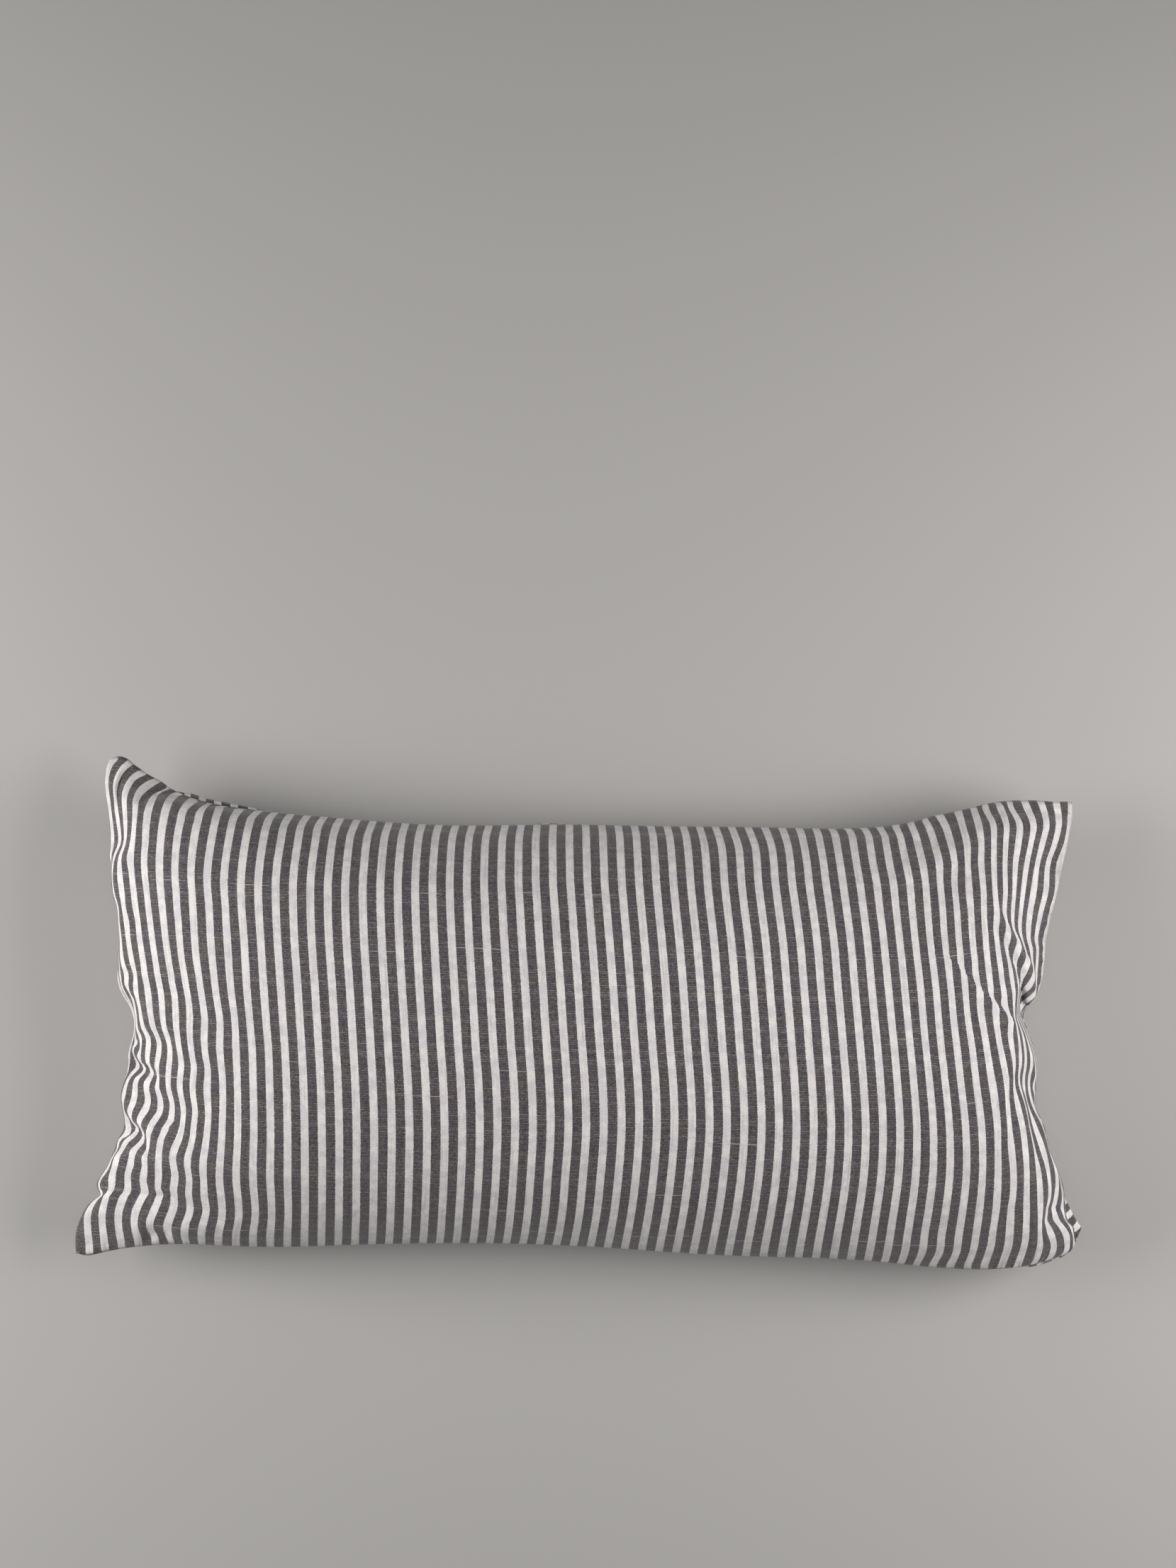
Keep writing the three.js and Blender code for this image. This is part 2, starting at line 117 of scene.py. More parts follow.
# ---- where stripes run down the face: a row for each height in the picture -----------
LEFT_K = (0, 0.455, 1, 1.455, 2, 2.455, 3, 3.455, 4, 4.455, 5, 5.455, 6, 7)
LEFT_ROWS = [
    (1066, 158, 168, 181, 193, 206, 217, 230, 239, 252, 261, 270, 279, 288, 312),
    (1070, 154, 168, 181, 192, 206, 216, 229, 238, 252, 259, 267, 276, 285, 302),
    (1080, 150.2, 158.5, 171, 183, 203, 213.5, 228, 237.5, 252, 259, 267, 276, 285, 302),
    (1090, 149.2, 154.5, 164.5, 174.5, 189.5, 208, 226, 237, 252, 259, 267, 276, 285, 302),
    (1100, 148.6, 152.8, 160.6, 168.8, 180, 191.8, 210.2, 231, 251, 259, 267, 276, 284.5, 302),
    (1110, 148.4, 152.9, 159.4, 166.3, 174.8, 184.8, 196.2, 215, 240, 248, 257, 266, 277, 305),
    (1120, 148.9, 154.2, 159.9, 165, 172, 180.4, 190, 202.5, 217.5, 225, 241, 255.5, 273, 308),
    (1130, 150.7, 155.7, 161, 165.3, 171.5, 178.7, 187, 196.1, 209, 218.9, 232.5, 245, 262, 297),
    (1140, 152.2, 156.7, 161.4, 166.5, 172.4, 179, 186.8, 194.7, 204.6, 215.4, 228.6, 240.5, 254.3, 281.5),
    (1160, 154.5, 159.2, 164.1, 169.1, 173.8, 179.6, 186.2, 192.7, 201.4, 211.8, 224.3, 235.7, 248.6, 273.2),
    (1190, 155.7, 160.9, 166.3, 170.2, 173.8, 177.4, 183, 190.5, 200.1, 209.6, 221, 231.5, 243.7, 267.3),
    (1210, 154.5, 156.7, 159, 162.2, 166.7, 171.4, 178.9, 188.8, 198.8, 207.8, 219.7, 230.3, 242.2, 265),
    (1230, 155.9, 156.3, 156.6, 159.1, 165.2, 172.4, 181.2, 189.6, 199.3, 208.4, 219.7, 230.3, 241.6, 264.1),
    (1260, 158.2, 158.4, 158.7, 161.6, 168.2, 175.8, 184.6, 193, 202.8, 211.2, 221.8, 231.9, 243.4, 265.8),
    (1280, 164.5, 165, 165.6, 167.3, 171.6, 177.5, 186.8, 195.2, 204.9, 213.2, 223.9, 233.7, 244.6, 266.8),
    (1300, 166.1, 166.4, 166.6, 168.6, 174.5, 182, 190.7, 198.2, 207.4, 215.7, 226.2, 235.6, 246.6, 268.1),
    (1320, 167.7, 167.9, 168.2, 171, 176.9, 183.6, 192.5, 200.3, 209.8, 218.2, 228.4, 237.7, 248.2, 269.2),
    (1360, 167.4, 168.6, 170.5, 176.4, 183.4, 190.3, 198.1, 206.4, 215.7, 224, 234, 243, 252.8, 272.9),
    (1375, 168.2, 170.5, 174.9, 181.4, 188, 193.2, 199.7, 208.4, 217.9, 226.4, 236.7, 245.7, 255.4, 275.5),
    (1390, 170.6, 172.5, 176, 181.3, 187.7, 194.5, 202.8, 211.4, 220.8, 229.2, 238.9, 247.8, 257.7, 277.5),
    (1400, 174.2, 176.8, 181.6, 183.3, 188.5, 195.2, 204.2, 213.1, 222.5, 231.1, 240.9, 250, 259.7, 279.2),
    (1410, 180.7, 182.6, 186.1, 189.1, 191.5, 196.5, 205.3, 214.4, 223.7, 232.1, 242.2, 251.1, 261.3, 280.6),
    (1420, 186.5, 187.2, 188.1, 191.1, 194.2, 198.5, 206.6, 215.1, 224.3, 232.7, 242.8, 251.8, 262.3, 282),
    (1440, 190.7, 191, 191.2, 193.6, 196.9, 202.3, 209.8, 217.8, 226.1, 233.8, 243.5, 252.6, 263, 283.8),
    (1450, 190.5, 191, 191.4, 194.4, 199, 205.1, 212.4, 220.1, 228, 235.3, 244.4, 252.9, 262.8, 283.3),
    (1464, 189.6, 191.8, 195.8, 200, 205.3, 212.3, 219.3, 225.6, 232.6, 240, 246.5, 254.4, 263.7, 283),
    (1471, 190.2, 195.1, 197.2, 200, 206, 213, 221, 227.7, 235, 241.4, 247.5, 255.2, 264.4, 283.4),
    (1478, 186.3, 189.5, 197.4, 199.6, 205.3, 212.6, 221, 228, 236, 242.8, 248.7, 256.2, 265.3, 284),
    (1492, 189.8, 191.2, 193.3, 198.6, 204.6, 210.9, 219, 226.7, 235.8, 243.2, 250.9, 258.6, 267.3, 285.8),
    (1499, 192.3, 195.8, 197.9, 200.2, 205.6, 210.9, 217.9, 224.9, 235, 242.8, 251.7, 259.7, 268.5, 287.2),
    (1506, 191.6, 197.2, 202.5, 206, 210.5, 213.7, 217.9, 224.2, 234, 242, 251.4, 259.8, 269.2, 288.4),
    (1513, 184.6, 190.9, 200, 205, 212.3, 217.2, 220.4, 224.2, 233.7, 241.4, 250.5, 259.1, 268.8, 288.6),
    (1520, 179.6, 184.6, 190.9, 197.9, 207.4, 215.8, 221.4, 224.6, 233.3, 241, 249.7, 258.2, 267.9, 288.3),
    (1527, 176.8, 181, 187.7, 194.7, 202.8, 211.9, 220, 224.6, 233.7, 240.7, 249.3, 257.7, 267.4, 287.4),
    (1534, 174, 179, 187, 194.4, 202.5, 210.2, 218.2, 224.6, 234, 240.9, 249.4, 257.7, 267.3, 287.1),
    (1548, 170.5, 176.5, 185.3, 193.7, 204.2, 212.6, 221.8, 229.1, 237.2, 244.2, 251.9, 259.5, 268.5, 287.5),
    (1555, 172, 174.6, 183.2, 192.3, 204, 212.6, 222.2, 230.3, 239, 245.8, 253.3, 261.1, 269.7, 288.2),
    (1569, 174.5, 176.3, 179.3, 186.5, 197, 208.5, 220.4, 229.5, 238.6, 246.5, 255, 262.6, 271.3, 289.3),
    (1579, 175.9, 182.4, 184, 186, 192.7, 201.3, 213.3, 224.3, 236.2, 245.6, 254.5, 261.6, 270.3, 289.1),
    (1584, 175.9, 183.6, 186.9, 188.9, 193.2, 199.4, 210.4, 220.9, 233.3, 244.5, 253.9, 261.1, 269.6, 288.7),
    (1588, 176.9, 185, 190.8, 193.3, 195.5, 198.4, 208, 218, 230.5, 239.1, 253.3, 260.6, 269.2, 288.4),
    (1593, 176.9, 185.5, 191.7, 196, 198.4, 200.8, 206.6, 216.1, 227.6, 238.1, 252, 260, 268.7, 287.9),
    (1603, 171.1, 179.9, 182, 191.2, 201.3, 204.2, 205.8, 212.3, 224.3, 233.3, 248.6, 258.1, 267.7, 286.7),
    (1607, 166.4, 171.6, 176.9, 186.5, 198.9, 204.2, 206.6, 211.8, 222.3, 231.4, 246.8, 257.1, 267.1, 286.1),
    (1612, 165.4, 168.5, 173, 181.2, 195, 203.2, 206.6, 211.3, 221.4, 230.7, 244.4, 255.3, 265.9, 285.3),
    (1622, 164.4, 166.2, 168.3, 175, 183.8, 194.5, 206, 209.9, 220, 229, 240.2, 251.3, 263, 283.9),
    (1631, 158, 160, 161.6, 169.7, 181.7, 190.3, 200.3, 208, 219.2, 228.4, 238.6, 248.7, 260.2, 282.1),
    (1646, 151.8, 154.6, 157.3, 165.9, 178.3, 188.4, 199.9, 208, 218.5, 228.1, 239.9, 249.7, 259.8, 281),
    (1655, 145.5, 149.5, 154.4, 163.5, 175.9, 185, 198, 208, 218.5, 228.6, 241.3, 251.7, 261.4, 281.3),
    (1665, 138.2, 142, 152.5, 163, 175.5, 184.5, 196.5, 206.6, 218.5, 228.1, 240.9, 251.7, 262.4, 282.4),
    (1679, 138.8, 142, 151.5, 159.7, 174, 184.5, 198, 209, 218.5, 227.1, 239, 249.5, 261.2, 282.6),
    (1684, 143.5, 145.5, 148.2, 156.3, 171.1, 182.6, 197, 209, 220, 229.5, 239.5, 249.3, 260.9, 282.6),
    (1694, 130.5, 137, 143.9, 153.2, 166.6, 178.8, 192.7, 204.4, 218.3, 229, 241.4, 251.6, 262.6, 283.7),
    (1704, 122.3, 131.3, 140.3, 150.5, 163.1, 174.6, 187.4, 199.2, 213, 224.7, 238.7, 250.5, 263, 285.7),
    (1734, 118.7, 128.6, 140, 149.8, 162.6, 172.8, 185.3, 195.1, 207.2, 217.2, 230.4, 241.8, 254.8, 279.2),
    (1744, 119.4, 129.6, 141, 151.6, 164, 174.6, 187.6, 199, 212.6, 222.6, 233.8, 243.2, 255, 278.6),
    (1754, 120.4, 130.8, 141.9, 152.8, 166, 176, 189.7, 200.5, 213.9, 224.6, 238, 246.5, 258, 279.5),
    (1775, 121.6, 132.2, 144, 154.6, 168.2, 178.4, 191.6, 201.5, 215.5, 226.5, 238.5, 247.5, 258.5, 281),
]
MID_K = (8, 9, 10, 12, 14, 16, 20, 24, 28, 32, 36, 40, 44, 48, 50, 52)
MID_ROWS = [
    (1130, 306.5, 337.1, 372.4, 421.1, 469.2, 512, 602.4, 694.4, 777.1, 861.4, 946.9, 1033.9, 1130.8, 1211.8, 1266.3, 1304.8),
    (1146, 301.3, 328.2, 356.6, 407.2, 456.9, 503.7, 596.5, 689.9, 776.3, 863.8, 952.1, 1040.7, 1137, 1222, 1273, 1315.5),
    (1152, 299.4, 324.7, 350.2, 401.9, 452.2, 500.6, 594.3, 688.2, 776, 864.7, 954.1, 1043.3, 1139.3, 1225.9, 1275.5, 1319.6),
    (1164, 296.7, 321.1, 345.7, 395.3, 444.1, 494.5, 589.8, 684.9, 775.4, 866.5, 958, 1048.4, 1143.8, 1233.6, 1280.4, 1327.4),
    (1180, 293.4, 318.1, 342, 391.5, 440.3, 488.6, 585.4, 680.3, 774.2, 868.9, 962.6, 1055.3, 1149.7, 1243.1, 1287.1, 1333.3),
    (1190, 291.9, 316.3, 340.2, 389.8, 438.8, 486.9, 584.1, 679.1, 774, 869.3, 964.1, 1058.9, 1151.7, 1244.9, 1289.5, 1336.3),
    (1220, 287.7, 312, 336, 385.3, 434.4, 483.5, 581.4, 677.7, 774.3, 870.6, 966.9, 1062.8, 1156.8, 1249.9, 1296.5, 1342.4),
    (1240, 286.7, 310.4, 334.4, 383.5, 432.7, 481.8, 580.3, 677.3, 774.4, 871.4, 968.3, 1064, 1159.1, 1254, 1300.1, 1341.8),
    (1280, 289.6, 312.7, 335.3, 383.6, 432.3, 481.5, 580.5, 678.6, 777, 874.6, 972.1, 1068.6, 1164.8, 1258.7, 1303.5, 1345.3),
    (1320, 291.5, 314.8, 338.4, 385.5, 433.7, 482.8, 582.1, 680.5, 779.7, 878.2, 976.5, 1073.8, 1170.2, 1263.4, 1306.9, 1347.9),
    (1400, 299.5, 321.2, 343.4, 391, 439.1, 488.1, 586.5, 685.6, 785.6, 884.6, 983.4, 1081.1, 1177.3, 1271.7, 1316.1, 1357.6),
    (1440, 305.3, 326.4, 347.2, 393.6, 441.6, 490.5, 589.2, 688.1, 788.1, 887.3, 986.3, 1084.4, 1181, 1275.5, 1319.3, 1361.5),
    (1480, 304.9, 327.7, 350.4, 396.5, 444.1, 492.8, 591.5, 690.5, 790.9, 890.4, 989.2, 1087.3, 1184.3, 1279.6, 1323.1, 1367.1),
    (1520, 308.9, 329.6, 351.6, 398.3, 446.4, 495.1, 594.2, 693.7, 793.8, 893.7, 992.7, 1090.5, 1187.8, 1283.2, 1327.7, 1371.5),
    (1600, 308, 330.2, 352.7, 400.1, 448.5, 497.4, 596.8, 696, 795.9, 895.8, 995.1, 1093.3, 1191.4, 1288.3, 1334.7, 1380.3),
    (1660, 304.1, 327.8, 351.2, 400, 448.9, 497.1, 595.9, 694, 791.8, 891.4, 990.1, 1089.3, 1188.2, 1286.2, 1334.2, 1380.9),
    (1720, 307.1, 331.1, 354.4, 401.1, 448.4, 496.6, 593.6, 689.4, 786.4, 883.6, 981.6, 1080.6, 1179.6, 1278.2, 1326.6, 1374.6),
    (1740, 302.8, 327.6, 351.6, 400, 448, 495.9, 592.4, 687.4, 783, 879.9, 977.9, 1076.9, 1176.1, 1275.1, 1323, 1371.7),
    (1770, 303.8, 328, 352.2, 400.3, 447.6, 494.6, 589.2, 681.7, 776, 873.9, 971.7, 1071.6, 1170.9, 1269.8, 1318.4, 1366.2),
    (1785, 304.6, 328.6, 352.8, 400.6, 447.6, 493.8, 587.5, 678.7, 772.6, 871, 968.4, 1069.5, 1168.2, 1264.9, 1309.6, 1359.9),
]
RIGHT_K = (53, 53.455, 54, 54.455, 55, 55.455, 56, 56.455, 57, 57.455, 58, 58.455, 59, 59.455, 60, 60.455, 61)
RIGHT_ROWS = [
    (1128, 1346, 1357, 1368, 1376, 1385, 1394, 1403, 1411, 1419, 1427, 1439, 1450, 1462, 1472, 1484, 1494, 1506),
    (1138, 1345, 1357, 1368.5, 1378, 1384.8, 1394.6, 1405.6, 1416, 1422, 1429.9, 1443, 1453.7, 1466, 1475.5, 1486.2, 1496, 1506.4),
    (1162, 1352, 1361.9, 1374.9, 1385.5, 1396.2, 1405.2, 1415.3, 1423.7, 1433.5, 1442.8, 1453, 1462.4, 1471.9, 1480.6, 1489.4, 1498.1, 1505.4),
    (1190, 1359, 1369.3, 1380.1, 1388.8, 1398.3, 1406.2, 1415.1, 1422.7, 1431.9, 1441.1, 1450.6, 1458.2, 1466.4, 1474.8, 1484, 1491.9, 1500.6),
    (1215, 1361.1, 1369.3, 1379.7, 1388.7, 1398.1, 1406.2, 1414.4, 1421.3, 1429, 1437, 1445.4, 1453, 1460.9, 1467.8, 1475.7, 1482.9, 1490.7),
    (1260, 1362.4, 1372.6, 1383.5, 1391.9, 1400.2, 1407.6, 1415.1, 1421.7, 1428, 1433.6, 1439.9, 1446.4, 1453.4, 1462.3, 1471, 1478.8, 1487),
    (1290, 1365.5, 1374.5, 1384.2, 1392.4, 1402.1, 1410.6, 1415, 1420.5, 1426.1, 1431.2, 1437.1, 1442.6, 1448.8, 1456.8, 1464.2, 1471.1, 1479),
    (1300, 1365.9, 1375, 1384.7, 1392.8, 1401.4, 1410.4, 1418.7, 1421.8, 1426.5, 1430.9, 1436.2, 1441.7, 1447.7, 1455.5, 1462.5, 1469, 1477.4),
    (1310, 1366.4, 1375.5, 1385.2, 1393.7, 1401.3, 1408.9, 1419, 1425.8, 1428.5, 1431.9, 1436.4, 1441.2, 1447.3, 1454.6, 1460.8, 1466.7, 1474.6),
    (1328, 1367.8, 1376.7, 1386.6, 1395.1, 1403.2, 1410.1, 1415.7, 1425.3, 1434.7, 1439.3, 1441.7, 1444.3, 1449.2, 1454.6, 1459.6, 1464.5, 1470.4),
    (1336, 1368.5, 1377.5, 1387, 1395.6, 1404, 1411.1, 1417.2, 1422.5, 1432.7, 1441.8, 1444.5, 1446.7, 1451.5, 1456.8, 1461.6, 1465.6, 1470.9),
    (1346, 1369.8, 1378.6, 1388.1, 1396.6, 1405.1, 1412.5, 1419.2, 1423.2, 1429.2, 1439.2, 1447.5, 1449.5, 1453.5, 1457.3, 1461.8, 1465.6, 1470.6),
    (1356, 1371.2, 1379.8, 1389.3, 1397.7, 1406.5, 1414.1, 1421.4, 1426, 1428.6, 1434.8, 1446, 1454.2, 1455, 1457.7, 1461.4, 1464.9, 1470.6),
    (1366, 1372, 1380.5, 1390.2, 1398.9, 1408, 1415.5, 1422.8, 1428.2, 1432.5, 1434, 1440.7, 1451.7, 1457.7, 1459.3, 1460.6, 1464.2, 1468.7),
    (1386, 1375, 1384, 1393.2, 1401.3, 1410.7, 1417.7, 1425.4, 1431.3, 1435.2, 1438.4, 1439.5, 1441.6, 1450.2, 1459.5, 1461, 1462.8, 1467.5),
    (1396, 1376.4, 1385.6, 1395, 1402.6, 1412.4, 1419.8, 1427.4, 1432.5, 1436.5, 1438, 1439, 1439.8, 1441.5, 1452.6, 1461.1, 1462, 1463.4),
    (1406, 1377.1, 1386.9, 1396.5, 1403.3, 1413.6, 1421.4, 1428.6, 1433, 1435.6, 1436.6, 1437.4, 1438.2, 1439.2, 1440.3, 1451.1, 1461.1, 1461.8),
    (1416, 1377.7, 1387.4, 1398.9, 1407.3, 1413.4, 1422.4, 1429.3, 1432.3, 1435.2, 1436, 1436.6, 1437.2, 1437.7, 1438.2, 1438.8, 1448.3, 1453),
    (1425, 1378.7, 1388.4, 1399.2, 1409, 1416.6, 1424.9, 1430.2, 1432.8, 1434.7, 1435.6, 1436.4, 1437.2, 1438, 1438.8, 1439.6, 1441, 1443),
    (1434, 1379.8, 1389.5, 1400.1, 1409.4, 1420.3, 1428, 1431.2, 1433.2, 1435, 1436.2, 1437.2, 1438.2, 1439.2, 1440.1, 1440.9, 1441.7, 1442.6),
    (1462, 1384.7, 1394.1, 1404.3, 1412.3, 1421.7, 1429.5, 1435.8, 1438.6, 1442, 1444.9, 1447.4, 1449.2, 1450.6, 1451.8, 1452.7, 1453.5, 1454.2),
    (1504, 1390.9, 1400.8, 1412, 1421, 1428.8, 1433, 1437.2, 1441.4, 1444.9, 1448.4, 1453.3, 1457.5, 1460, 1461.2, 1462, 1462.7, 1463.3),
    (1518, 1392.9, 1403.4, 1414.7, 1423.3, 1429.5, 1431.6, 1436.5, 1438.6, 1442.8, 1446.3, 1450.5, 1454, 1460.3, 1461.8, 1462.4, 1463, 1463.5),
    (1532, 1394.8, 1405.9, 1416.7, 1424.1, 1429.5, 1432.3, 1437.2, 1440, 1442, 1446.3, 1449.8, 1453.3, 1456.8, 1459.6, 1461, 1461.8, 1462.4),
    (1546, 1397, 1408.1, 1418.1, 1423.7, 1430.2, 1435.8, 1442, 1443.8, 1446.3, 1447.7, 1451.9, 1455.4, 1459, 1459.8, 1460.4, 1460.9, 1461.4),
    (1560, 1398.8, 1409.7, 1418.6, 1425, 1432, 1440, 1446.6, 1448, 1450.2, 1451.4, 1456, 1458.9, 1459.6, 1460.1, 1460.6, 1461, 1461.4),
    (1590, 1402.1, 1412.2, 1421.1, 1427.7, 1438.4, 1446.8, 1452.5, 1453.7, 1457.1, 1463.6, 1470.6, 1471.9, 1472.3, 1472.6, 1472.9, 1473.2, 1473.4),
    (1621, 1403.1, 1412.6, 1421.9, 1431.9, 1442.2, 1450.6, 1458.3, 1460.6, 1466.7, 1475.1, 1479, 1479.3, 1479.6, 1479.8, 1480, 1480.2, 1480.4),
    (1652, 1403.1, 1413.1, 1425, 1434.5, 1444.5, 1452.5, 1461.7, 1468.6, 1475.9, 1481.2, 1488.1, 1491.7, 1492, 1492.3, 1492.5, 1492.7, 1492.9),
    (1696, 1400.8, 1411.5, 1423, 1432.6, 1443.7, 1452.7, 1463.5, 1471.9, 1477.6, 1481.3, 1485.2, 1491.2, 1497.6, 1500.9, 1502, 1502.4, 1502.8),
    (1704, 1400.1, 1410.8, 1421.5, 1431.4, 1443.5, 1453, 1463.7, 1471.9, 1475.8, 1478.8, 1483.1, 1489.1, 1496, 1500.8, 1502.6, 1503, 1503.4),
    (1713, 1399.3, 1409.6, 1420.7, 1431.2, 1443.5, 1452.8, 1464, 1471.2, 1474.8, 1478, 1484.6, 1492, 1499.5, 1502.6, 1503.6, 1504, 1504.4),
    (1722, 1398.2, 1408.1, 1419.8, 1431, 1443.5, 1452.5, 1464.2, 1470.2, 1473.6, 1477.5, 1486.1, 1495.2, 1502.6, 1504.4, 1505, 1505.4, 1505.8),
    (1730, 1396.8, 1406.8, 1419.2, 1430.5, 1443, 1452.3, 1464.2, 1470.2, 1475.2, 1482.4, 1492.4, 1502, 1508.6, 1511.8, 1513.2, 1513.9, 1514.4),
    (1739, 1395.4, 1405.6, 1418.5, 1430.1, 1442.6, 1452.1, 1464.2, 1470.2, 1477.1, 1487, 1497.8, 1508.1, 1512.6, 1514.3, 1515, 1515.5, 1515.9),
    (1756, 1392.8, 1403.5, 1416.8, 1428.4, 1440.5, 1450, 1463.3, 1471.5, 1482.3, 1490.9, 1501.6, 1509.4, 1514, 1516, 1517, 1517.6, 1518),
    (1786, 1382.7, 1394.1, 1407.8, 1418.1, 1430.1, 1440.5, 1455, 1464, 1474, 1483, 1494, 1504, 1512, 1515.5, 1516.8, 1517.5, 1518),
]


# creases where the stripes step sideways: picture x, y at both ends, and the step in px
STEPS = [
    (1338, 1349, 1434, 1442, 4.0),
    (140, 1684, 255, 1690, -2.6),
]


# ---- curves through table columns ------------------------------------------------------
def slopes(k, v):
    """Shape-keeping slopes for a cubic through (k, v)."""
    h = np.diff(k)
    d = np.diff(v) / h
    m = np.zeros(len(v))
    m[0], m[-1] = d[0], d[-1]
    for i in range(1, len(v) - 1):
        if d[i - 1] * d[i] > 0:
            w1, w2 = 2 * h[i] + h[i - 1], h[i] + 2 * h[i - 1]
            m[i] = (w1 + w2) / (w1 / d[i - 1] + w2 / d[i])
    return m


def curve(k, v, q, m=None):
    """Cubic through (k, v); without slopes given, one that keeps its shape."""
    k = np.asarray(k, float)
    v = np.asarray(v, float)
    if m is None:
        m = slopes(k, v)
    q = np.clip(np.asarray(q, float), k[0], k[-1])
    i = np.clip(np.searchsorted(k, q, side="right") - 1, 0, len(k) - 2)
    h = k[i + 1] - k[i]
    p = (q - k[i]) / h
    p2, p3 = p * p, p * p * p
    return (2 * p3 - 3 * p2 + 1) * v[i] + (p3 - 2 * p2 + p) * h * m[i] + (3 * p2 - 2 * p3) * v[i + 1] + (p3 - p2) * h * m[i + 1]


def smooth_curve(k, v, q):
    """The same, for columns that swing both ways."""
    return curve(k, v, q, np.gradient(np.asarray(v, float), np.asarray(k, float)))


def column(tab, c):
    return np.array([r[c] for r in tab], float)


def stripe_map():
    """Picture x of stripe k at picture height y, on a fine grid: rows y, columns k."""
    ys = np.arange(1060.0, 1800.0, 2.0)
    ks = np.arange(-1.0, 62.01, 0.125)
    knots = list(LEFT_K) + list(MID_K) + list(RIGHT_K)
    cols = []
    for tab in (LEFT_ROWS, MID_ROWS, RIGHT_ROWS):
        for c in range(1, len(tab[0])):
            cols.append(smooth_curve(column(tab, 0), column(tab, c), ys))
    ex = [np.interp(ys, column(t, 1), column(t, 0)) for t in (LEFT, RIGHT)]
    out = np.zeros((len(ys), len(ks)))
    for n, y in enumerate(ys):
        # share of the way down the face, for the grain
        v = np.clip((y - 1100) / 650.0, 0, 1)
        kl, kr = -GRAIN * v, STRIPES - GRAIN * v
        use = [i for i, q in enumerate(knots) if q > kl + 0.2 and q < kr - 0.1]
        k = [kl] + [knots[i] for i in use] + [kr]
        x = [ex[0][n]] + [cols[i][n] for i in use] + [ex[1][n]]
        rise = 0.15 * np.arange(len(x))
        x = np.maximum.accumulate(np.array(x) - rise) + rise
        out[n] = curve(k, x, ks)
        for ax, ay, bx, by, step in STEPS:
            # sharpen the smooth step of the table
            l = math.hypot(bx - ax, by - ay)
            d = ((y - ay) * (bx - ax) - (out[n] - ax) * (by - ay)) / l
            along = ((out[n] - ax) * (bx - ax) + (y - ay) * (by - ay)) / (l * l)
            inside = np.clip(np.minimum(along, 1 - along) / 0.12 + 0.5, 0, 1)
            out[n] += 0.5 * step * inside * (np.tanh(d / 1.6) - np.tanh(d / 13.0))
        out[n] = np.maximum.accumulate(out[n])
        # beyond the seams, run on straight
        lo, hi = ks < kl, ks > kr
        out[n][lo] = x[0] + (ks[lo] - kl) * 6.0
        out[n][hi] = x[-1] + (ks[hi] - kr) * 6.0
    return ys, ks, out


def lookup(ys, ks, tab, y, k):
    fy = np.clip((y - ys[0]) / (ys[1] - ys[0]), 0, len(ys) - 1.001)
    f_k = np.clip((k - ks[0]) / (ks[1] - ks[0]), 0, len(ks) - 1.001)
    a, b = fy.astype(int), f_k.astype(int)
    u, v = fy - a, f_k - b
    return (tab[a, b] * (1 - u) + tab[a + 1, b] * u) * (1 - v) + (tab[a, b + 1] * (1 - u) + tab[a + 1, b + 1] * u) * v


def stripe_at(smap, x, y, k):
    """Stripe number at picture (x, y), near a first guess k."""
    lo, hi = k - 1.2, k + 1.2
    for _ in range(14):
        m = 0.5 * (lo + hi)
        less = lookup(*smap, y, m) < x
        lo = np.where(less, m, lo)
        hi = np.where(less, hi, m)
    return 0.5 * (lo + hi)


def cols(nu):
    """Share of the panel's width at each column of nodes: closer together near the short seams."""
    q = np.linspace(0, 1, nu + 1)
    return q - 0.07 * np.sin(2 * math.pi * q)


# ---- seam ------------------------------------------------------------------------------
def seam_px(nu, nv):
    """Picture place of each seam node: arrays for top, bottom (nu+1) and left, right (nv+1)."""
    s = cols(nu)
    kt = s * STRIPES
    kb = s * STRIPES - GRAIN
    top = np.stack([curve(column(UPPER, 0), column(UPPER, 1), kt), smooth_curve(column(UPPER, 0), column(UPPER, 2), kt)], -1)
    bot = np.stack([curve(column(LOWER, 0), column(LOWER, 1), kb), smooth_curve(column(LOWER, 0), column(LOWER, 2), kb)], -1)

    def side(tab):
        P = np.array(tab, float)[::-1]
        d = np.r_[0, np.cumsum(np.hypot(*np.diff(P, axis=0).T))]
        d /= d[-1]
        t = np.linspace(0, 1, nv + 1)
        return np.stack([smooth_curve(d, P[:, 0], t), smooth_curve(d, P[:, 1], t)], -1)

    return top, bot, side(LEFT), side(RIGHT)


def seam_height(nu, nv):
    """Height wanted for the seam nodes, mm."""
    s = cols(nu)
    t = np.linspace(0, 1, nv + 1)

    def rise(q, reach, low):
        e = np.clip(np.minimum(q, 1 - q) / reach, 0, 1)
        return low + (SEAM_Z - low) * e * e * (3 - 2 * e)

    top = rise(s, 0.16, 38.0)
    bot = rise(s, 0.16, 34.0)
    left = rise(t, 0.3, 36.0)
    right = rise(t, 0.3, 36.0)
    # meet at the corners
    w = np.clip(1 - t / 0.12, 0, 1)
    left = left * (1 - w) + bot[0] * w
    right = right * (1 - w) + bot[-1] * w
    w = np.clip(1 - (1 - t) / 0.12, 0, 1)
    left = left * (1 - w) + top[0] * w
    right = right * (1 - w) + top[-1] * w
    return top, bot, left, right


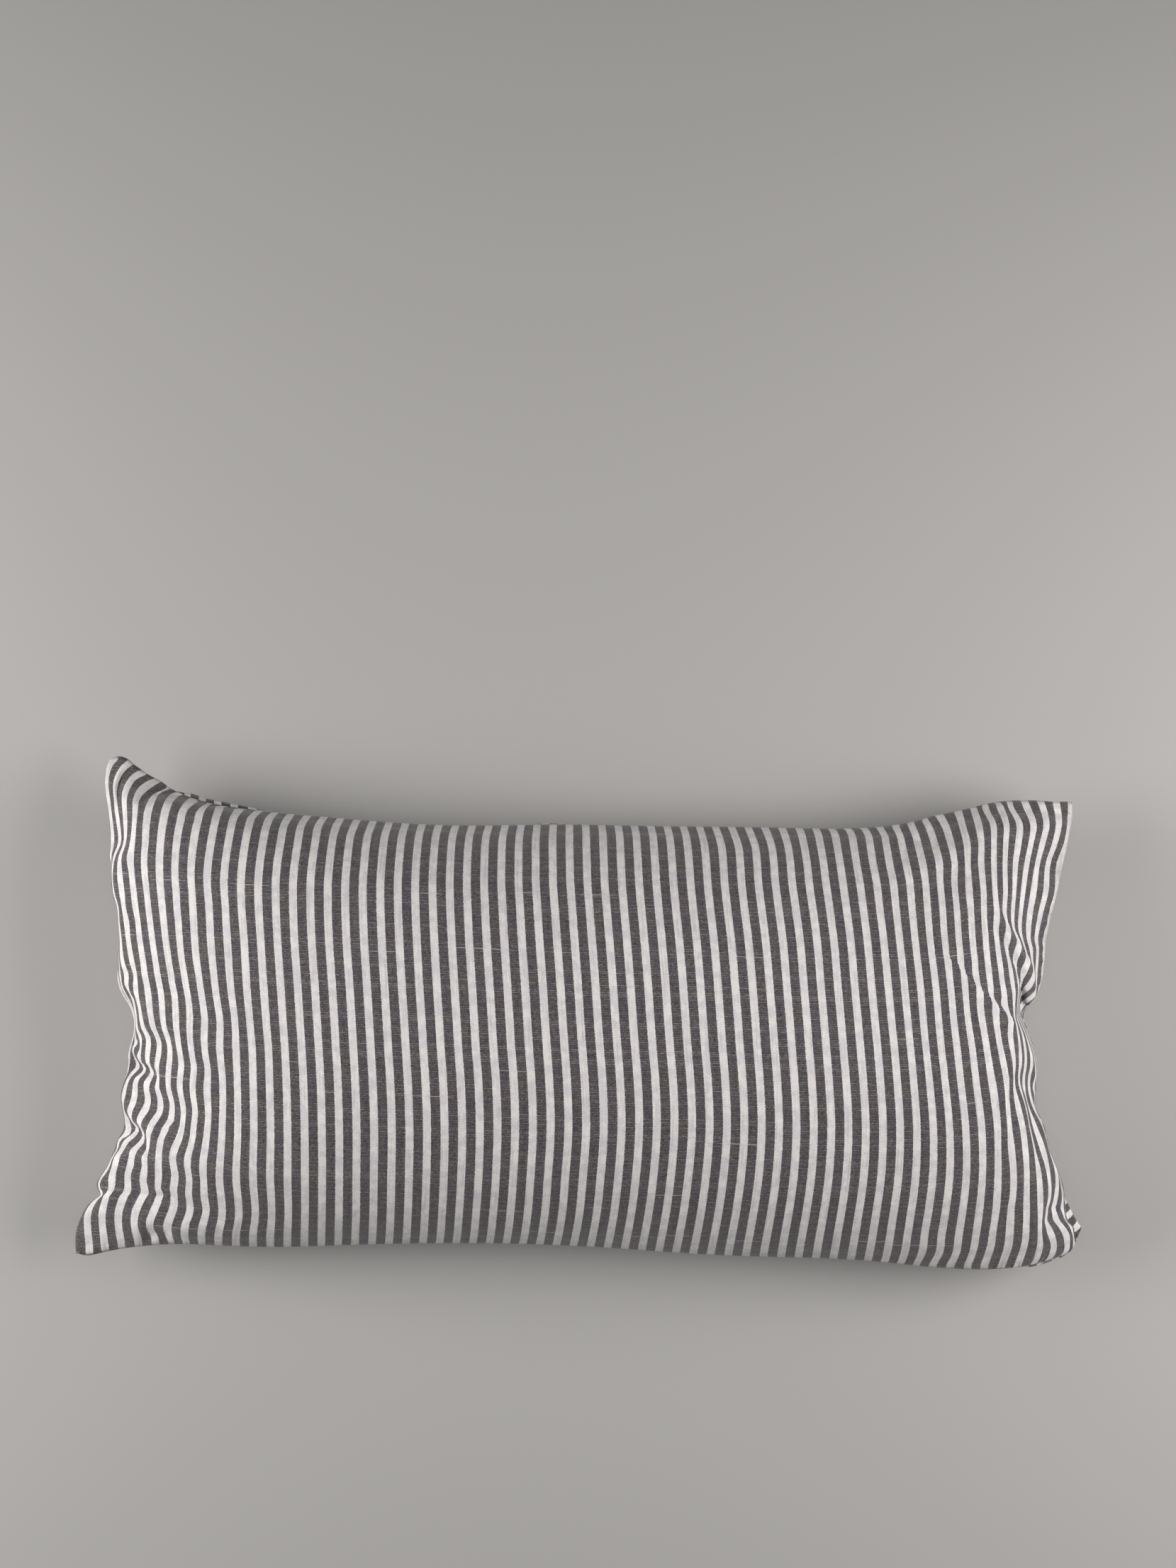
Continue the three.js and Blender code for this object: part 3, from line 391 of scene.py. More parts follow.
# ---- start shape ---------------------------------------------------------------------------
def start_shape(nu, nv, smap):
    s = cols(nu)[:, None]
    t = np.linspace(0, 1, nv + 1)[None, :]
    top, bot, left, right = seam_px(nu, nv)
    zt, zb, zl, zr = seam_height(nu, nv)
    Y = (1 - t) * bot[:, None, 1] + t * top[:, None, 1]
    # ease the heights on the short sides to the seam's own
    wl = np.clip(1 - s / 0.06, 0, 1) ** 2
    wr = np.clip(1 - (1 - s) / 0.06, 0, 1) ** 2
    Y = Y * (1 - wl - wr) + wl * left[None, :, 1] + wr * right[None, :, 1]
    k = s * STRIPES - GRAIN * (1 - t)
    X = lookup(*smap, Y, k + 0 * Y)
    X[0], X[-1] = left[:, 0], right[:, 0]
    X[:, 0], X[:, -1] = bot[:, 0], top[:, 0]
    Y[0], Y[-1] = left[:, 1], right[:, 1]
    Y[:, 0], Y[:, -1] = bot[:, 1], top[:, 1]
    a = np.clip(1 - np.abs(2 * s - 1) ** 3.4, 0, 1) ** 0.7
    b = np.clip(1 - np.abs(2 * t - 1) ** 2.2, 0, 1) ** 0.62
    f = a * b
    zs = np.minimum(SEAM_Z, 34 + 200 * np.minimum(np.minimum(s, 1 - s) + 0 * t, 0.5 * np.minimum(t, 1 - t) + 0 * s))
    P = np.zeros((2, nu + 1, nv + 1, 3))
    P[0] = from_px(X, Y, zs + (TOP_Z - 2 - zs) * f)
    P[1] = from_px(X, Y, np.maximum(zs - 70 * f, 0))
    for i, zz in ((0, zl), (-1, zr)):
        P[:, i, :, :] = from_px(X[i], Y[i], zz)[None]
    for j, zz in ((0, zb), (-1, zt)):
        P[:, :, j, :] = from_px(X[:, j], Y[:, j], zz)[None]
    return P


# ---- relaxation -------------------------------------------------------------------------------
def link(A, B, L, stretch, squeeze):
    """Pull the ends of each link towards its flat length."""
    d = B - A
    l = np.sqrt((d * d).sum(-1))
    e = (l - L) / np.maximum(l, 1e-6)
    e *= np.where(e > 0, 0.5 * stretch, 0.5 * squeeze)
    d *= e[..., None]
    A += d
    B -= d


def relax(P, smap, steps, press, wts, report=None):
    """Settle both panels. P is (2, nu+1, nv+1, 3) in mm; front is P[0]."""
    nu, nv = P.shape[1] - 1, P.shape[2] - 1
    s1 = cols(nu)
    hu, hv = np.diff(s1) * FLAT_W, FLAT_H / nv
    s = s1[:, None]
    t = np.linspace(0, 1, nv + 1)[None, :]
    k = s * STRIPES - GRAIN * (1 - t)
    top, bot, left, right = seam_px(nu, nv)
    zt, zb, zl, zr = seam_height(nu, nv)
    area = np.gradient(s1)[:, None, None] * FLAT_W * hv
    # the filling doesn't reach the corners
    du = np.minimum(s, 1 - s) * FLAT_W
    dv = np.minimum(t, 1 - t) * FLAT_H
    corner = np.clip(np.hypot(np.clip(70 - du, 0, None), np.clip(60 - dv, 0, None)) / 62.0, 0, 1)
    corner = np.where((du < 70) & (dv < 60), corner, 0)
    fill = 1 - 0.92 * np.clip((corner - 0.35) / 0.6, 0, 1)
    # stripe goals fade where the picture looks along the cloth
    ends = wts.get("ends", 1.0)
    e = np.clip(np.minimum(s, 1 - s) * FLAT_W / 90.0, 0, 1)
    stripe_w = wts["stripe"] * (ends + (1 - ends) * e * e * (3 - 2 * e)) * np.ones((nu + 1, nv + 1))
    near = max(2, nv // 6)
    V = np.zeros_like(P)
    drag = wts.get("drag", 0.86)
    for n in range(steps):
        # pressure along the surface normal, on both panels
        for side, sign in ((0, 1.0), (1, -1.0)):
            Q = P[side]
            a = np.empty_like(Q)
            b = np.empty_like(Q)
            a[1:-1] = (Q[2:] - Q[:-2]) * 0.5
            a[0], a[-1] = Q[1] - Q[0], Q[-1] - Q[-2]
            b[:, 1:-1] = (Q[:, 2:] - Q[:, :-2]) * 0.5
            b[:, 0], b[:, -1] = Q[:, 1] - Q[:, 0], Q[:, -1] - Q[:, -2]
            N = np.cross(a, b) / area
            p = press * fill
            if side == 0:
                # the filling gives way near its full height
                p = p * np.clip((TOP_Z + 1.5 - Q[..., 2]) / 14.0, -0.6, 1.0)
            V[side] += N * (sign * p[..., None])
        V *= drag
        P += V
        old = P - V
        for _ in range(wts.get("inner", 4)):
            for par in (0, 1):
                L = hu[par::2]
                link(P[:, par:-1:2][:, : len(L)], P[:, par + 1 :: 2], L[None, :, None], 1.0, wts["squeeze"])
            for par in (0, 1):
                link(P[:, :, par:-1:2][:, :, : (nv + 1 - par) // 2], P[:, :, par + 1 :: 2], hv, 1.0, wts["squeeze"])
            for par in (0, 1):
                L = np.hypot(hu[par::2], hv)[None, :, None]
                A = P[:, par:-1:2][:, : L.shape[1]]
                B = P[:, par + 1 :: 2]
                for q in (0, 1):
                    w = (nv + 1 - q) // 2
                    link(A[:, :, q:-1:2][:, :, :w], B[:, :, q + 1 :: 2][:, :, :w], L, wts["shear"], wts["shear"])
                    link(A[:, :, q + 1 :: 2][:, :, :w], B[:, :, q:-1:2][:, :, :w], L, wts["shear"], wts["shear"])
            # bending
            kb = wts["bend"]
            if kb:
                m = (P[:, 2:] + P[:, :-2]) * 0.5 - P[:, 1:-1]
                P[:, 1:-1] += kb * m
                P[:, 2:] -= 0.5 * kb * m
                P[:, :-2] -= 0.5 * kb * m
                m = (P[:, :, 2:] + P[:, :, :-2]) * 0.5 - P[:, :, 1:-1]
                P[:, :, 1:-1] += kb * m
                P[:, :, 2:] -= 0.5 * kb * m
                P[:, :, :-2] -= 0.5 * kb * m
            # the seam holds both panels together, near its place in the picture
            ws, wz = wts["seam"], wts["seam_z"]
            for i in (0, -1):
                P[:, i] = 0.5 * (P[0][i] + P[1][i])
                P[:, :, i] = 0.5 * (P[0][:, i] + P[1][:, i])
            for (i, j, goal, zz) in ((None, -1, top, zt), (None, 0, bot, zb), (0, None, left, zl), (-1, None, right, zr)):
                E = P[0][:, j] if i is None else P[0][i]
                G = from_px(goal[:, 0], goal[:, 1], E[:, 2])
                E[:, :2] += ws * (G[:, :2] - E[:, :2])
                E[:, 2] += wz * (zz - E[:, 2])
                if i is None:
                    P[1][:, j] = E
                else:
                    P[1][i] = E
            # the floor, and the thickness of two layers in the ears
            np.maximum(P[1, :, :, 2], 0.0, out=P[1, :, :, 2])
            gap = P[0, 1:-1, 1:-1, 2] - P[1, 1:-1, 1:-1, 2]
            push = np.clip(wts["gap"] - gap, 0, None) * 0.5
            P[0, 1:-1, 1:-1, 2] += push
            P[1, 1:-1, 1:-1, 2] -= push
        # stripe goals on the front
        x, y, d = to_px(P[0])
        g = lookup(*smap, y, k)
        P[0, :, :, 0] += stripe_w * (g - x) * d / FOCAL
        # neither panel shows past the outline, but for the back's own share
        hem(P, near)
        if nv >= 150:
            show_back(P)
        V = P - old
        if report and (n % report == 0 or n == steps - 1):
            lu = np.sqrt(((P[:, 1:] - P[:, :-1]) ** 2).sum(-1)) / hu[None, :, None]
            lv = np.sqrt(((P[:, :, 1:] - P[:, :, :-1]) ** 2).sum(-1)) / hv
            print("step %d  move %.3f  u %.3f..%.3f  v %.3f..%.3f  z %.1f..%.1f" % (
                n, np.abs(V).max(), np.percentile(lu, 1), np.percentile(lu, 99), np.percentile(lv, 1), np.percentile(lv, 99),
                P[..., 2].min(), P[..., 2].max()), flush=True)
    return P


def hem(P, near):
    """Hold the cloth beside the seams inside the outline seen in the picture."""
    for side in (0, 1):
        for sl, tab, over, sgn in ((np.s_[1:near], LEFT, LEFT_OVER, -1), (np.s_[-near:-1], RIGHT, RIGHT_OVER, 1)):
            Q = P[side][sl][:, 1:-1]
            x, y, d = to_px(Q)
            lim = np.interp(y, column(tab, 1), column(tab, 0))
            if side:
                lim = lim + sgn * np.interp(y, column(over, 0), column(over, 1))
            # a little inside, so that the seam itself is the edge
            lim = lim - sgn * 0.4
            past = np.clip(sgn * (x - lim), 0, None)
            Q[..., 0] -= sgn * past * d / FOCAL
        for sl, tab, over, sgn in ((np.s_[1:near], LOWER, LOWER_OVER, 1), (np.s_[-near:-1], UPPER, UPPER_OVER, -1)):
            Q = P[side][1:-1, sl]
            x, y, d = to_px(Q)
            lim = np.interp(x, column(tab, 1), column(tab, 2))
            if side:
                lim = lim + sgn * np.interp(x, column(over, 0), column(over, 1))
            lim = lim - sgn * 0.4
            past = np.clip(sgn * (y - lim), 0, None)
            Q[..., 1] += sgn * past * d / FOCAL


def show_back(P, amount=0.5):
    """Let the back panel roll past the seam where the picture shows it."""
    nu, nv = P.shape[1] - 1, P.shape[2] - 1
    s1 = cols(nu)
    for end, over, horiz in ((0, LEFT_OVER, True), (-1, RIGHT_OVER, True), (0, LOWER_OVER, False), (-1, UPPER_OVER, False)):
        # the rows of nodes that lie within the roll, counted from the seam
        if horiz:
            sgn = -1 if end == 0 else 1
            seam = P[0][end]
            away = (s1 if end == 0 else 1 - s1[::-1]) * FLAT_W
        else:
            sgn = 1 if end == 0 else -1
            seam = P[0][:, end]
            away = np.linspace(0, 1, nv + 1) * FLAT_H
        sx, sy, sd = to_px(seam)
        px = sd / FOCAL
        out = np.interp(sy if horiz else sx, column(over, 0), column(over, 1))
        if out.max() <= 0.6:
            continue
        for m in range(1, 12):
            a = away[m]
            reach = 2.0 + 1.6 * out * px
            w = np.clip(out / 1.5 - 0.3, 0, 1) * (a < reach) * amount
            w[:3] = 0
            w[-3:] = 0
            roll = out * np.sin(np.pi * np.clip(a / reach, 0, 1))
            drop = 0.25 * a + 0.5 * out * px * np.clip(a / reach, 0, 1) ** 2
            i = m if end == 0 else -1 - m
            row = P[1][i] if horiz else P[1][:, i]
            gx = sx + (sgn * roll if horiz else 0)
            gy = sy + (0 if horiz else sgn * roll)
            G = from_px(gx, gy, seam[:, 2] - drop)
            row += w[:, None] * (G - row)


def calm(P, length=19.0):
    """Take short buckles out of the filled middle along the width; the gathered ends stay as they are."""
    nu, nv = P.shape[1] - 1, P.shape[2] - 1
    u = cols(nu) * FLAT_W
    h = np.diff(u)
    D = np.zeros((nu - 1, nu + 1))
    i = np.arange(nu - 1)
    mid = 0.5 * (h[:-1] + h[1:])
    D[i, i] = 1 / (h[:-1] * mid)
    D[i, i + 1] = -1 / (h[:-1] * mid) - 1 / (h[1:] * mid)
    D[i, i + 2] = 1 / (h[1:] * mid)
    keep = np.ones(nu + 1)
    keep[:4] = keep[-4:] = 50.0
    M = np.diag(keep) + length ** 4 * (D.T * mid / mid.mean()) @ D
    X, Y, dist = to_px(P[0])
    px = dist.mean() / FOCAL
    left = (X - np.interp(Y, column(LEFT, 1), column(LEFT, 0))) * px
    right = (np.interp(Y, column(RIGHT, 1), column(RIGHT, 0)) - X) * px
    # how far in from each short seam the gathers reach, by height in the picture
    gl = np.interp(Y, (1200, 1300, 1370, 1440, 1700, 1740), (10, 6, 6, 16, 16, 12))
    gr = np.interp(Y, (1200, 1290, 1470, 1530, 1600, 1660), (10, 14, 14, 4, 4, -2))
    w = np.clip(np.minimum((left - gl) / (8 + gl), (right - gr) / (8 + gr)), 0, 1)
    w = w * w * (3 - 2 * w)
    P = P.copy()
    for axis in (1, 2):
        f = np.linalg.solve(M, keep[:, None] * P[0, :, :, axis])
        P[0, :, :, axis] += w * (f - P[0, :, :, axis])
    return P


def refine(P, nu, nv):
    """Resample both panels onto a finer grid by cubic curves."""
    def along(Q, n, axis):
        Q = np.moveaxis(Q, axis, 0)
        m = Q.shape[0] - 1
        x = np.linspace(0, m, n + 1)
        i = np.clip(x.astype(int), 0, m - 1)
        p = (x - i).reshape((-1,) + (1,) * (Q.ndim - 1))
        ext = np.concatenate([2 * Q[:1] - Q[1:2], Q, 2 * Q[-1:] - Q[-2:-1]])
        a, b, c, d = ext[i], ext[i + 1], ext[i + 2], ext[i + 3]
        R = 0.5 * (2 * b + (c - a) * p + (2 * a - 5 * b + 4 * c - d) * p * p + (3 * b - a - 3 * c + d) * p ** 3)
        return np.moveaxis(R, 0, axis)
    return along(along(P, nu, 1), nv, 2)


# ---- creases pressed into the front -------------------------------------------------------
# depth and half width in mm (a ridge has a depth below 0), then picture points along the crease
CREASES = [
    # right end: the tuck's two lips, the cross crease, the hollow below and a soft ridge above
    (2.6, 1.5, (1403, 1270), (1410, 1286), (1421, 1302), (1432, 1318), (1442, 1334), (1451, 1351), (1457, 1368), (1462, 1384)),
    (2.2, 1.5, (1402, 1304), (1413, 1326), (1421, 1342), (1430, 1359), (1437, 1373), (1440, 1388), (1440, 1402)),
    (0.9, 1.3, (1338, 1349), (1354, 1365), (1366, 1377), (1384, 1395), (1405, 1413), (1416, 1422), (1431, 1439)),
    (1.1, 2.2, (1441, 1530), (1446, 1555), (1450, 1580), (1456, 1610), (1462, 1645), (1467, 1672)),
    (-2.4, 5.5, (1235, 1262), (1268, 1240), (1300, 1222), (1349, 1198), (1400, 1158), (1440, 1148)),
    (1.6, 6.0, (1262, 1212), (1290, 1190), (1320, 1174), (1350, 1160)),
    (1.4, 2.2, (1442, 1437), (1452, 1462), (1459, 1484)),
    # left end: foot of the ear, the pinch, the two turns of the gathers, the crease across
    (2.4, 1.8, (190, 1133), (197, 1129), (210, 1124), (224, 1119), (236, 1114)),
    (1.5, 2.0, (157, 1216), (166, 1206), (175, 1192), (182, 1172)),
    (2.3, 1.7, (188, 1490), (197, 1500), (207, 1508), (217, 1514), (228, 1523), (242, 1530)),
    (-1.6, 3.5, (172, 1546), (188, 1548), (205, 1552), (225, 1560), (245, 1566)),
    (2.5, 1.7, (176, 1582), (187, 1590), (198, 1597), (206, 1608), (211, 1624), (222, 1636)),
    (-1.4, 4.0, (154, 1640), (175, 1646), (200, 1652), (225, 1658)),
    (1.5, 1.4, (143, 1684), (160, 1685), (185, 1686), (215, 1688), (252, 1690)),
    (2.6, 2.6, (198, 1753), (210, 1743), (222, 1739), (234, 1742), (243, 1750)),
    (1.0, 2.0, (186, 1415), (196, 1440), (199, 1462)),
]


def press_creases(P):
    """Move the front's nodes in and out along the creases seen in the picture."""
    nu, nv = P.shape[1] - 1, P.shape[2] - 1
    x, y, d = to_px(P[0])
    px = d.mean() / FOCAL  # millimetres for a pixel
    move = np.zeros_like(x)
    for depth, half, *pts in CREASES:
        pts = np.array(pts, float)
        seg = np.hypot(*np.diff(pts, axis=0).T)
        run = np.r_[0, np.cumsum(seg)]
        best = np.full(x.shape, 1e9)
        where = np.zeros(x.shape)
        for (ax, ay), (bx, by), r, l in zip(pts[:-1], pts[1:], run, seg):
            w = np.clip(((x - ax) * (bx - ax) + (y - ay) * (by - ay)) / (l * l), 0, 1)
            q = np.hypot(x - ax - w * (bx - ax), y - ay - w * (by - ay))
            near = q < best
            best = np.where(near, q, best)
            where = np.where(near, (r + w * l) / run[-1], where)
        q = best * px / half
        e = np.clip(np.minimum(where, 1 - where) / 0.25, 0, 1)
        taper = 0.15 + 0.85 * e * e * (3 - 2 * e)
        # a sharp foot and soft shoulders that rise a little
        shape = np.exp(-1.6 * q) * (1 + 1.6 * q) - 0.28 * np.exp(-((q - 2.6) / 1.1) ** 2)
        move -= depth * taper * shape
    s = cols(nu)[:, None]
    t = np.linspace(0, 1, nv + 1)[None, :]
    rim = np.minimum(np.minimum(s, 1 - s) * FLAT_W, np.minimum(t, 1 - t) * FLAT_H)
    move *= np.clip(rim / 5.0, 0, 1)
    P = P.copy()
    P[0, ..., 2] += move
    P[0, 1:-1, 1:-1, 2] = np.maximum(P[0, 1:-1, 1:-1, 2], P[1, 1:-1, 1:-1, 2] + 1.2)
    P[0, ..., 2] = np.minimum(P[0, ..., 2], TOP_Z)
    return P


# ---- settle the cloth ------------------------------------------------------------
smap = stripe_map()
W = dict(stripe=0.25, squeeze=0.5, shear=0.08, bend=0.03, seam=0.6, seam_z=0.05, gap=1.5, inner=3)
NU, NV = 76, 38
P = start_shape(NU, NV, smap)
P = relax(P, smap, 300, 0.015, W)
NU, NV = 2 * NU, 2 * NV
P = refine(P, NU, NV)
P = relax(P, smap, 200, 0.009, W)
NU, NV = 2 * NU, 2 * NV
P = refine(P, NU, NV)
W.update(bend=0.02, stripe=0.2)
P = relax(P, smap, 100, 0.005, W)
W.update(stripe=0.08)
P = relax(P, smap, 20, 0.004, W)
P = calm(P)
P = press_creases(P)


# ---- mesh ----------------------------------------------------------------------------
def soften(a):
    """One light blur of a grid of values; its border stays."""
    b = a.copy()
    b[1:-1] = 0.25 * a[:-2] + 0.5 * a[1:-1] + 0.25 * a[2:]
    c = b.copy()
    c[:, 1:-1] = 0.25 * b[:, :-2] + 0.5 * b[:, 1:-1] + 0.25 * b[:, 2:]
    return c


def cushion_mesh(P, nu, nv, smap):
    """One closed mesh: the front grid, and the back grid that shares its border."""
    front = np.arange((nu + 1) * (nv + 1)).reshape(nu + 1, nv + 1)
    back = front.copy()
    inner = (nu + 1) * (nv + 1) + np.arange((nu - 1) * (nv - 1)).reshape(nu - 1, nv - 1)
    back[1:-1, 1:-1] = inner
    co = np.concatenate([P[0].reshape(-1, 3), P[1, 1:-1, 1:-1].reshape(-1, 3)]) * 0.001
    S, T = np.meshgrid(cols(nu), np.linspace(0, 1, nv + 1), indexing="ij")
    # the front's stripes lie just where the measured ones do
    x, y, _ = to_px(P[0])
    k = S * STRIPES - GRAIN * (1 - T)
    q = stripe_at(smap, x, y, k)
    rim = np.clip(np.minimum(np.minimum(S, 1 - S) * FLAT_W, np.minimum(T, 1 - T) * FLAT_H) / 5.0, 0, 1)
    # fully on the open face, less and softer where the cloth turns down out of sight
    open_ = np.abs(np.gradient(x, axis=0)) / (np.gradient(S, axis=0) * FLAT_W)
    for _ in range(3):
        open_ = soften(open_)
    open_ = np.clip((open_ - 0.30) / 0.50, 0, 1)
    nudge = rim * np.clip(q - k, -0.5, 0.5)
    soft = nudge * open_
    for _ in range(8):
        soft = soften(soft)
    nudge = open_ * nudge + (1 - open_) * soft
    kk = k + nudge
    # the tip of the ear is light all round
    tip = np.clip((7 - S * FLAT_W) / 3, 0, 1) * np.clip((T * FLAT_H - FLAT_H + 9) / 3, 0, 1)
    kk = kk + tip * np.clip(0.06 - kk, 0, 0.5)
    fill = np.maximum.accumulate(kk, axis=0)
    back_fill = np.minimum.accumulate(kk[::-1], axis=0)[::-1]
    Sf = S + (0.5 * (fill + back_fill) - k) / STRIPES

    def quads(g, flip):
        a, b, c, d = g[:-1, :-1], g[1:, :-1], g[1:, 1:], g[:-1, 1:]
        q = np.stack((a, d, c, b) if flip else (a, b, c, d), -1)
        # split these two corner cells through the corner, so the panels don't share a triangle
        for cell in ((0, -1), (-1, 0)):
            q[cell] = np.roll(q[cell], 1)
        return q.reshape(-1, 4)

    def per_corner(A, flip):
        return np.take(A.ravel(), quads(front, flip)).reshape(-1)

    faces = np.concatenate([quads(front, False), quads(back, True)])
    me = bpy.data.meshes.new("cushion_cover")
    me.vertices.add(len(co))
    me.vertices.foreach_set("co", co.astype(np.float32).ravel())
    me.loops.add(faces.size)
    me.loops.foreach_set("vertex_index", faces.astype(np.int32).ravel())
    me.polygons.add(len(faces))
    me.polygons.foreach_set("loop_start", np.arange(0, faces.size, 4, dtype=np.int32))
    me.polygons.foreach_set("loop_total", np.full(len(faces), 4, dtype=np.int32))
    me.update(calc_edges=True)
    me.validate()
    # the woven cloth's own flat coordinates, in decimetres; the back panel lies above the front one
    # at the lower right corner the back's stripes come round on the slant
    turn = np.clip((S * FLAT_W - 597) / 7, 0, 1) * np.clip((40 - T * FLAT_H) / 12, 0, 1)
    Sb = S - turn * 0.95 * np.clip(40 - T * FLAT_H, 0, 40) / FLAT_W
    Sb = Sb + 0.6 * tip / STRIPES
    u = np.concatenate([per_corner(Sf, False), per_corner(Sb, True)]) * FLAT_W * 0.01
    v = np.concatenate([per_corner(T, False) * FLAT_H, per_corner(T, True) * FLAT_H + 400.0]) * 0.01
    lay = me.uv_layers.new(name="flat")
    lay.uv.foreach_set("vector", np.stack([u, v], -1).astype(np.float32).ravel())
    # one picture of both panels, for baking
    pu = np.concatenate([per_corner(S, False), per_corner(S, True)]) * 0.99 + 0.005
    pv = np.concatenate([per_corner(T, False) * 0.49 + 0.005, per_corner(T, True) * 0.49 + 0.505])
    lay = me.uv_layers.new(name="OFBake")
    lay.uv.foreach_set("vector", np.stack([pu, pv], -1).astype(np.float32).ravel())
    me.uv_layers.active = me.uv_layers["flat"]
    me.uv_layers["flat"].active_render = True
    me.polygons.foreach_set("use_smooth", np.ones(len(faces), dtype=bool))
    return me


me = cushion_mesh(P, NU, NV, smap)
cushion = bpy.data.objects.new("cushion_cover", me)
bpy.context.collection.objects.link(cushion)


# ---- cloth material ----------------------------------------------------------------------
ROW = 0.93  # weft pitch, mm
END = 0.56  # warp pitch, mm


def ticking():
    m = bpy.data.materials.new("ticking_cloth")
    m.use_nodes = True
    nt = m.node_tree
    nt.nodes.clear()
    N = nt.nodes

    def node(kind, **k):
        n = N.new(kind)
        for a, b in k.items():
            setattr(n, a, b)
        return n

    def put(sock, val):
        if isinstance(val, bpy.types.NodeSocket):
            nt.links.new(val, sock)
        else:
            sock.default_value = val

    def math_(op, a, b=None, c=None, clamp=False):
        n = node("ShaderNodeMath", operation=op, use_clamp=clamp)
        put(n.inputs[0], a)
        if b is not None:
            put(n.inputs[1], b)
        if c is not None:
            put(n.inputs[2], c)
        return n.outputs[0]

    def mul(a, b):
        return math_("MULTIPLY", a, b)

    def add(a, b):
        return math_("ADD", a, b)

    def ramp(x, a, b, c=0.0, d=1.0, kind="SMOOTHSTEP"):
        n = node("ShaderNodeMapRange", interpolation_type=kind, clamp=True)
        put(n.inputs["Value"], x)
        put(n.inputs["From Min"], a)
        put(n.inputs["From Max"], b)
        put(n.inputs["To Min"], c)
        put(n.inputs["To Max"], d)
        return n.outputs["Result"]

    def xyz(x, y, z=0.0):
        n = node("ShaderNodeCombineXYZ")
        put(n.inputs[0], x)
        put(n.inputs[1], y)
        put(n.inputs[2], z)
        return n.outputs[0]

    def noise(vec, detail=0.0, rough=0.5):
        n = node("ShaderNodeTexNoise", noise_dimensions="3D")
        put(n.inputs["Vector"], vec)
        put(n.inputs["Scale"], 1.0)
        put(n.inputs["Detail"], detail)
        put(n.inputs["Roughness"], rough)
        return n.outputs["Fac"]

    def dice(a):
        n = node("ShaderNodeTexWhiteNoise", noise_dimensions="1D")
        put(n.inputs["W"], a)
        return n.outputs["Value"]

    def mix(f, a, b):
        n = node("ShaderNodeMix", data_type="RGBA")
        put(n.inputs[0], f)
        put(n.inputs[6], a)
        put(n.inputs[7], b)
        return n.outputs[2]

    uv = node("ShaderNodeUVMap", uv_map="flat").outputs[0]
    sep = node("ShaderNodeSeparateXYZ")
    put(sep.inputs[0], uv)
    u = mul(sep.outputs[0], 100.0)  # millimetres
    v = mul(sep.outputs[1], 100.0)
    is_back = math_("GREATER_THAN", v, 350.0)
    vv = math_("SUBTRACT", v, mul(is_back, 400.0))

    # stripes, a little off the grain of the seams
    k = mul(u, STRIPES / FLAT_W)
    k = add(k, math_("MULTIPLY_ADD", vv, GRAIN / FLAT_H, -GRAIN))
    k = add(k, mul(is_back, 0.5))
    # weft rows wander a little
    wander = noise(xyz(mul(u, 0.012), mul(v, 0.03), 3.0), 1.0)
    row = mul(add(v, mul(wander, 2.4)), 1.0 / ROW)
    row_id = math_("FLOOR", row)
    row_f = math_("FRACT", row)
    end = mul(u, 1.0 / END)
    end_id = math_("FLOOR", end)
    end_f = math_("FRACT", end)
    # each stripe edge is ragged by a thread or so
    jag = mul(math_("SUBTRACT", noise(xyz(mul(u, 0.08), mul(row_id, 0.9), 1.0)), 0.5), 0.045)
    f = math_("FRACT", add(add(k, jag), 10.0))
    e = 0.016
    white = mul(ramp(f, -e, e), ramp(f, 0.455 + e, 0.455 - e))
    white = math_("MAXIMUM", white, ramp(f, 1.0 - e, 1.0 + e))

    # light weft dashes on dark warp
    luck = dice(row_id)
    bright = math_("POWER", luck, 1.8)
    along = noise(xyz(mul(u, 0.42), mul(row_id, 7.13), 5.0), 1.0, 0.6)
    tuft = noise(xyz(mul(end_id, 0.73), mul(row_id, 3.7), 9.0), 1.0, 0.6)
    profile = ramp(math_("ABSOLUTE", math_("SUBTRACT", row_f, 0.5)), 0.44, 0.08)
    dash = mul(profile, ramp(add(mul(along, 0.45), mul(tuft, 0.95)), 0.36, 1.02))
    dash = mul(dash, math_("MULTIPLY_ADD", bright, 0.75, 0.72))
    # dark warp ends, some lighter
    ends = math_("MULTIPLY_ADD", ramp(math_("ABSOLUTE", math_("SUBTRACT", end_f, 0.5)), 0.5, 0.15), 0.6, 0.5)
    fade = noise(xyz(mul(end_id, 0.37), mul(v, 0.016), 12.0), 1.0)
    dark = mix(mul(fade, ends), (0.018, 0.015, 0.017, 1.0), (0.080, 0.070, 0.074, 1.0))
    tint = noise(xyz(mul(u, 0.09), mul(v, 0.08), 20.0), 1.0)
    lit = mix(ramp(tint, 0.34, 0.56), (0.224, 0.214, 0.242, 1.0), (0.258, 0.232, 0.238, 1.0))
    lit = mix(ramp(tint, 0.54, 0.70), lit, (0.258, 0.246, 0.224, 1.0))
    dark = mix(dash, dark, lit)
    # flecks of light fibre
    fleck = noise(xyz(mul(u, 0.55), mul(v, 0.9), 31.0), 2.0, 0.7)
    fleck = ramp(fleck, 0.72, 0.80)
    dark = mix(mul(fleck, 0.7), dark, (0.46, 0.42, 0.42, 1.0))

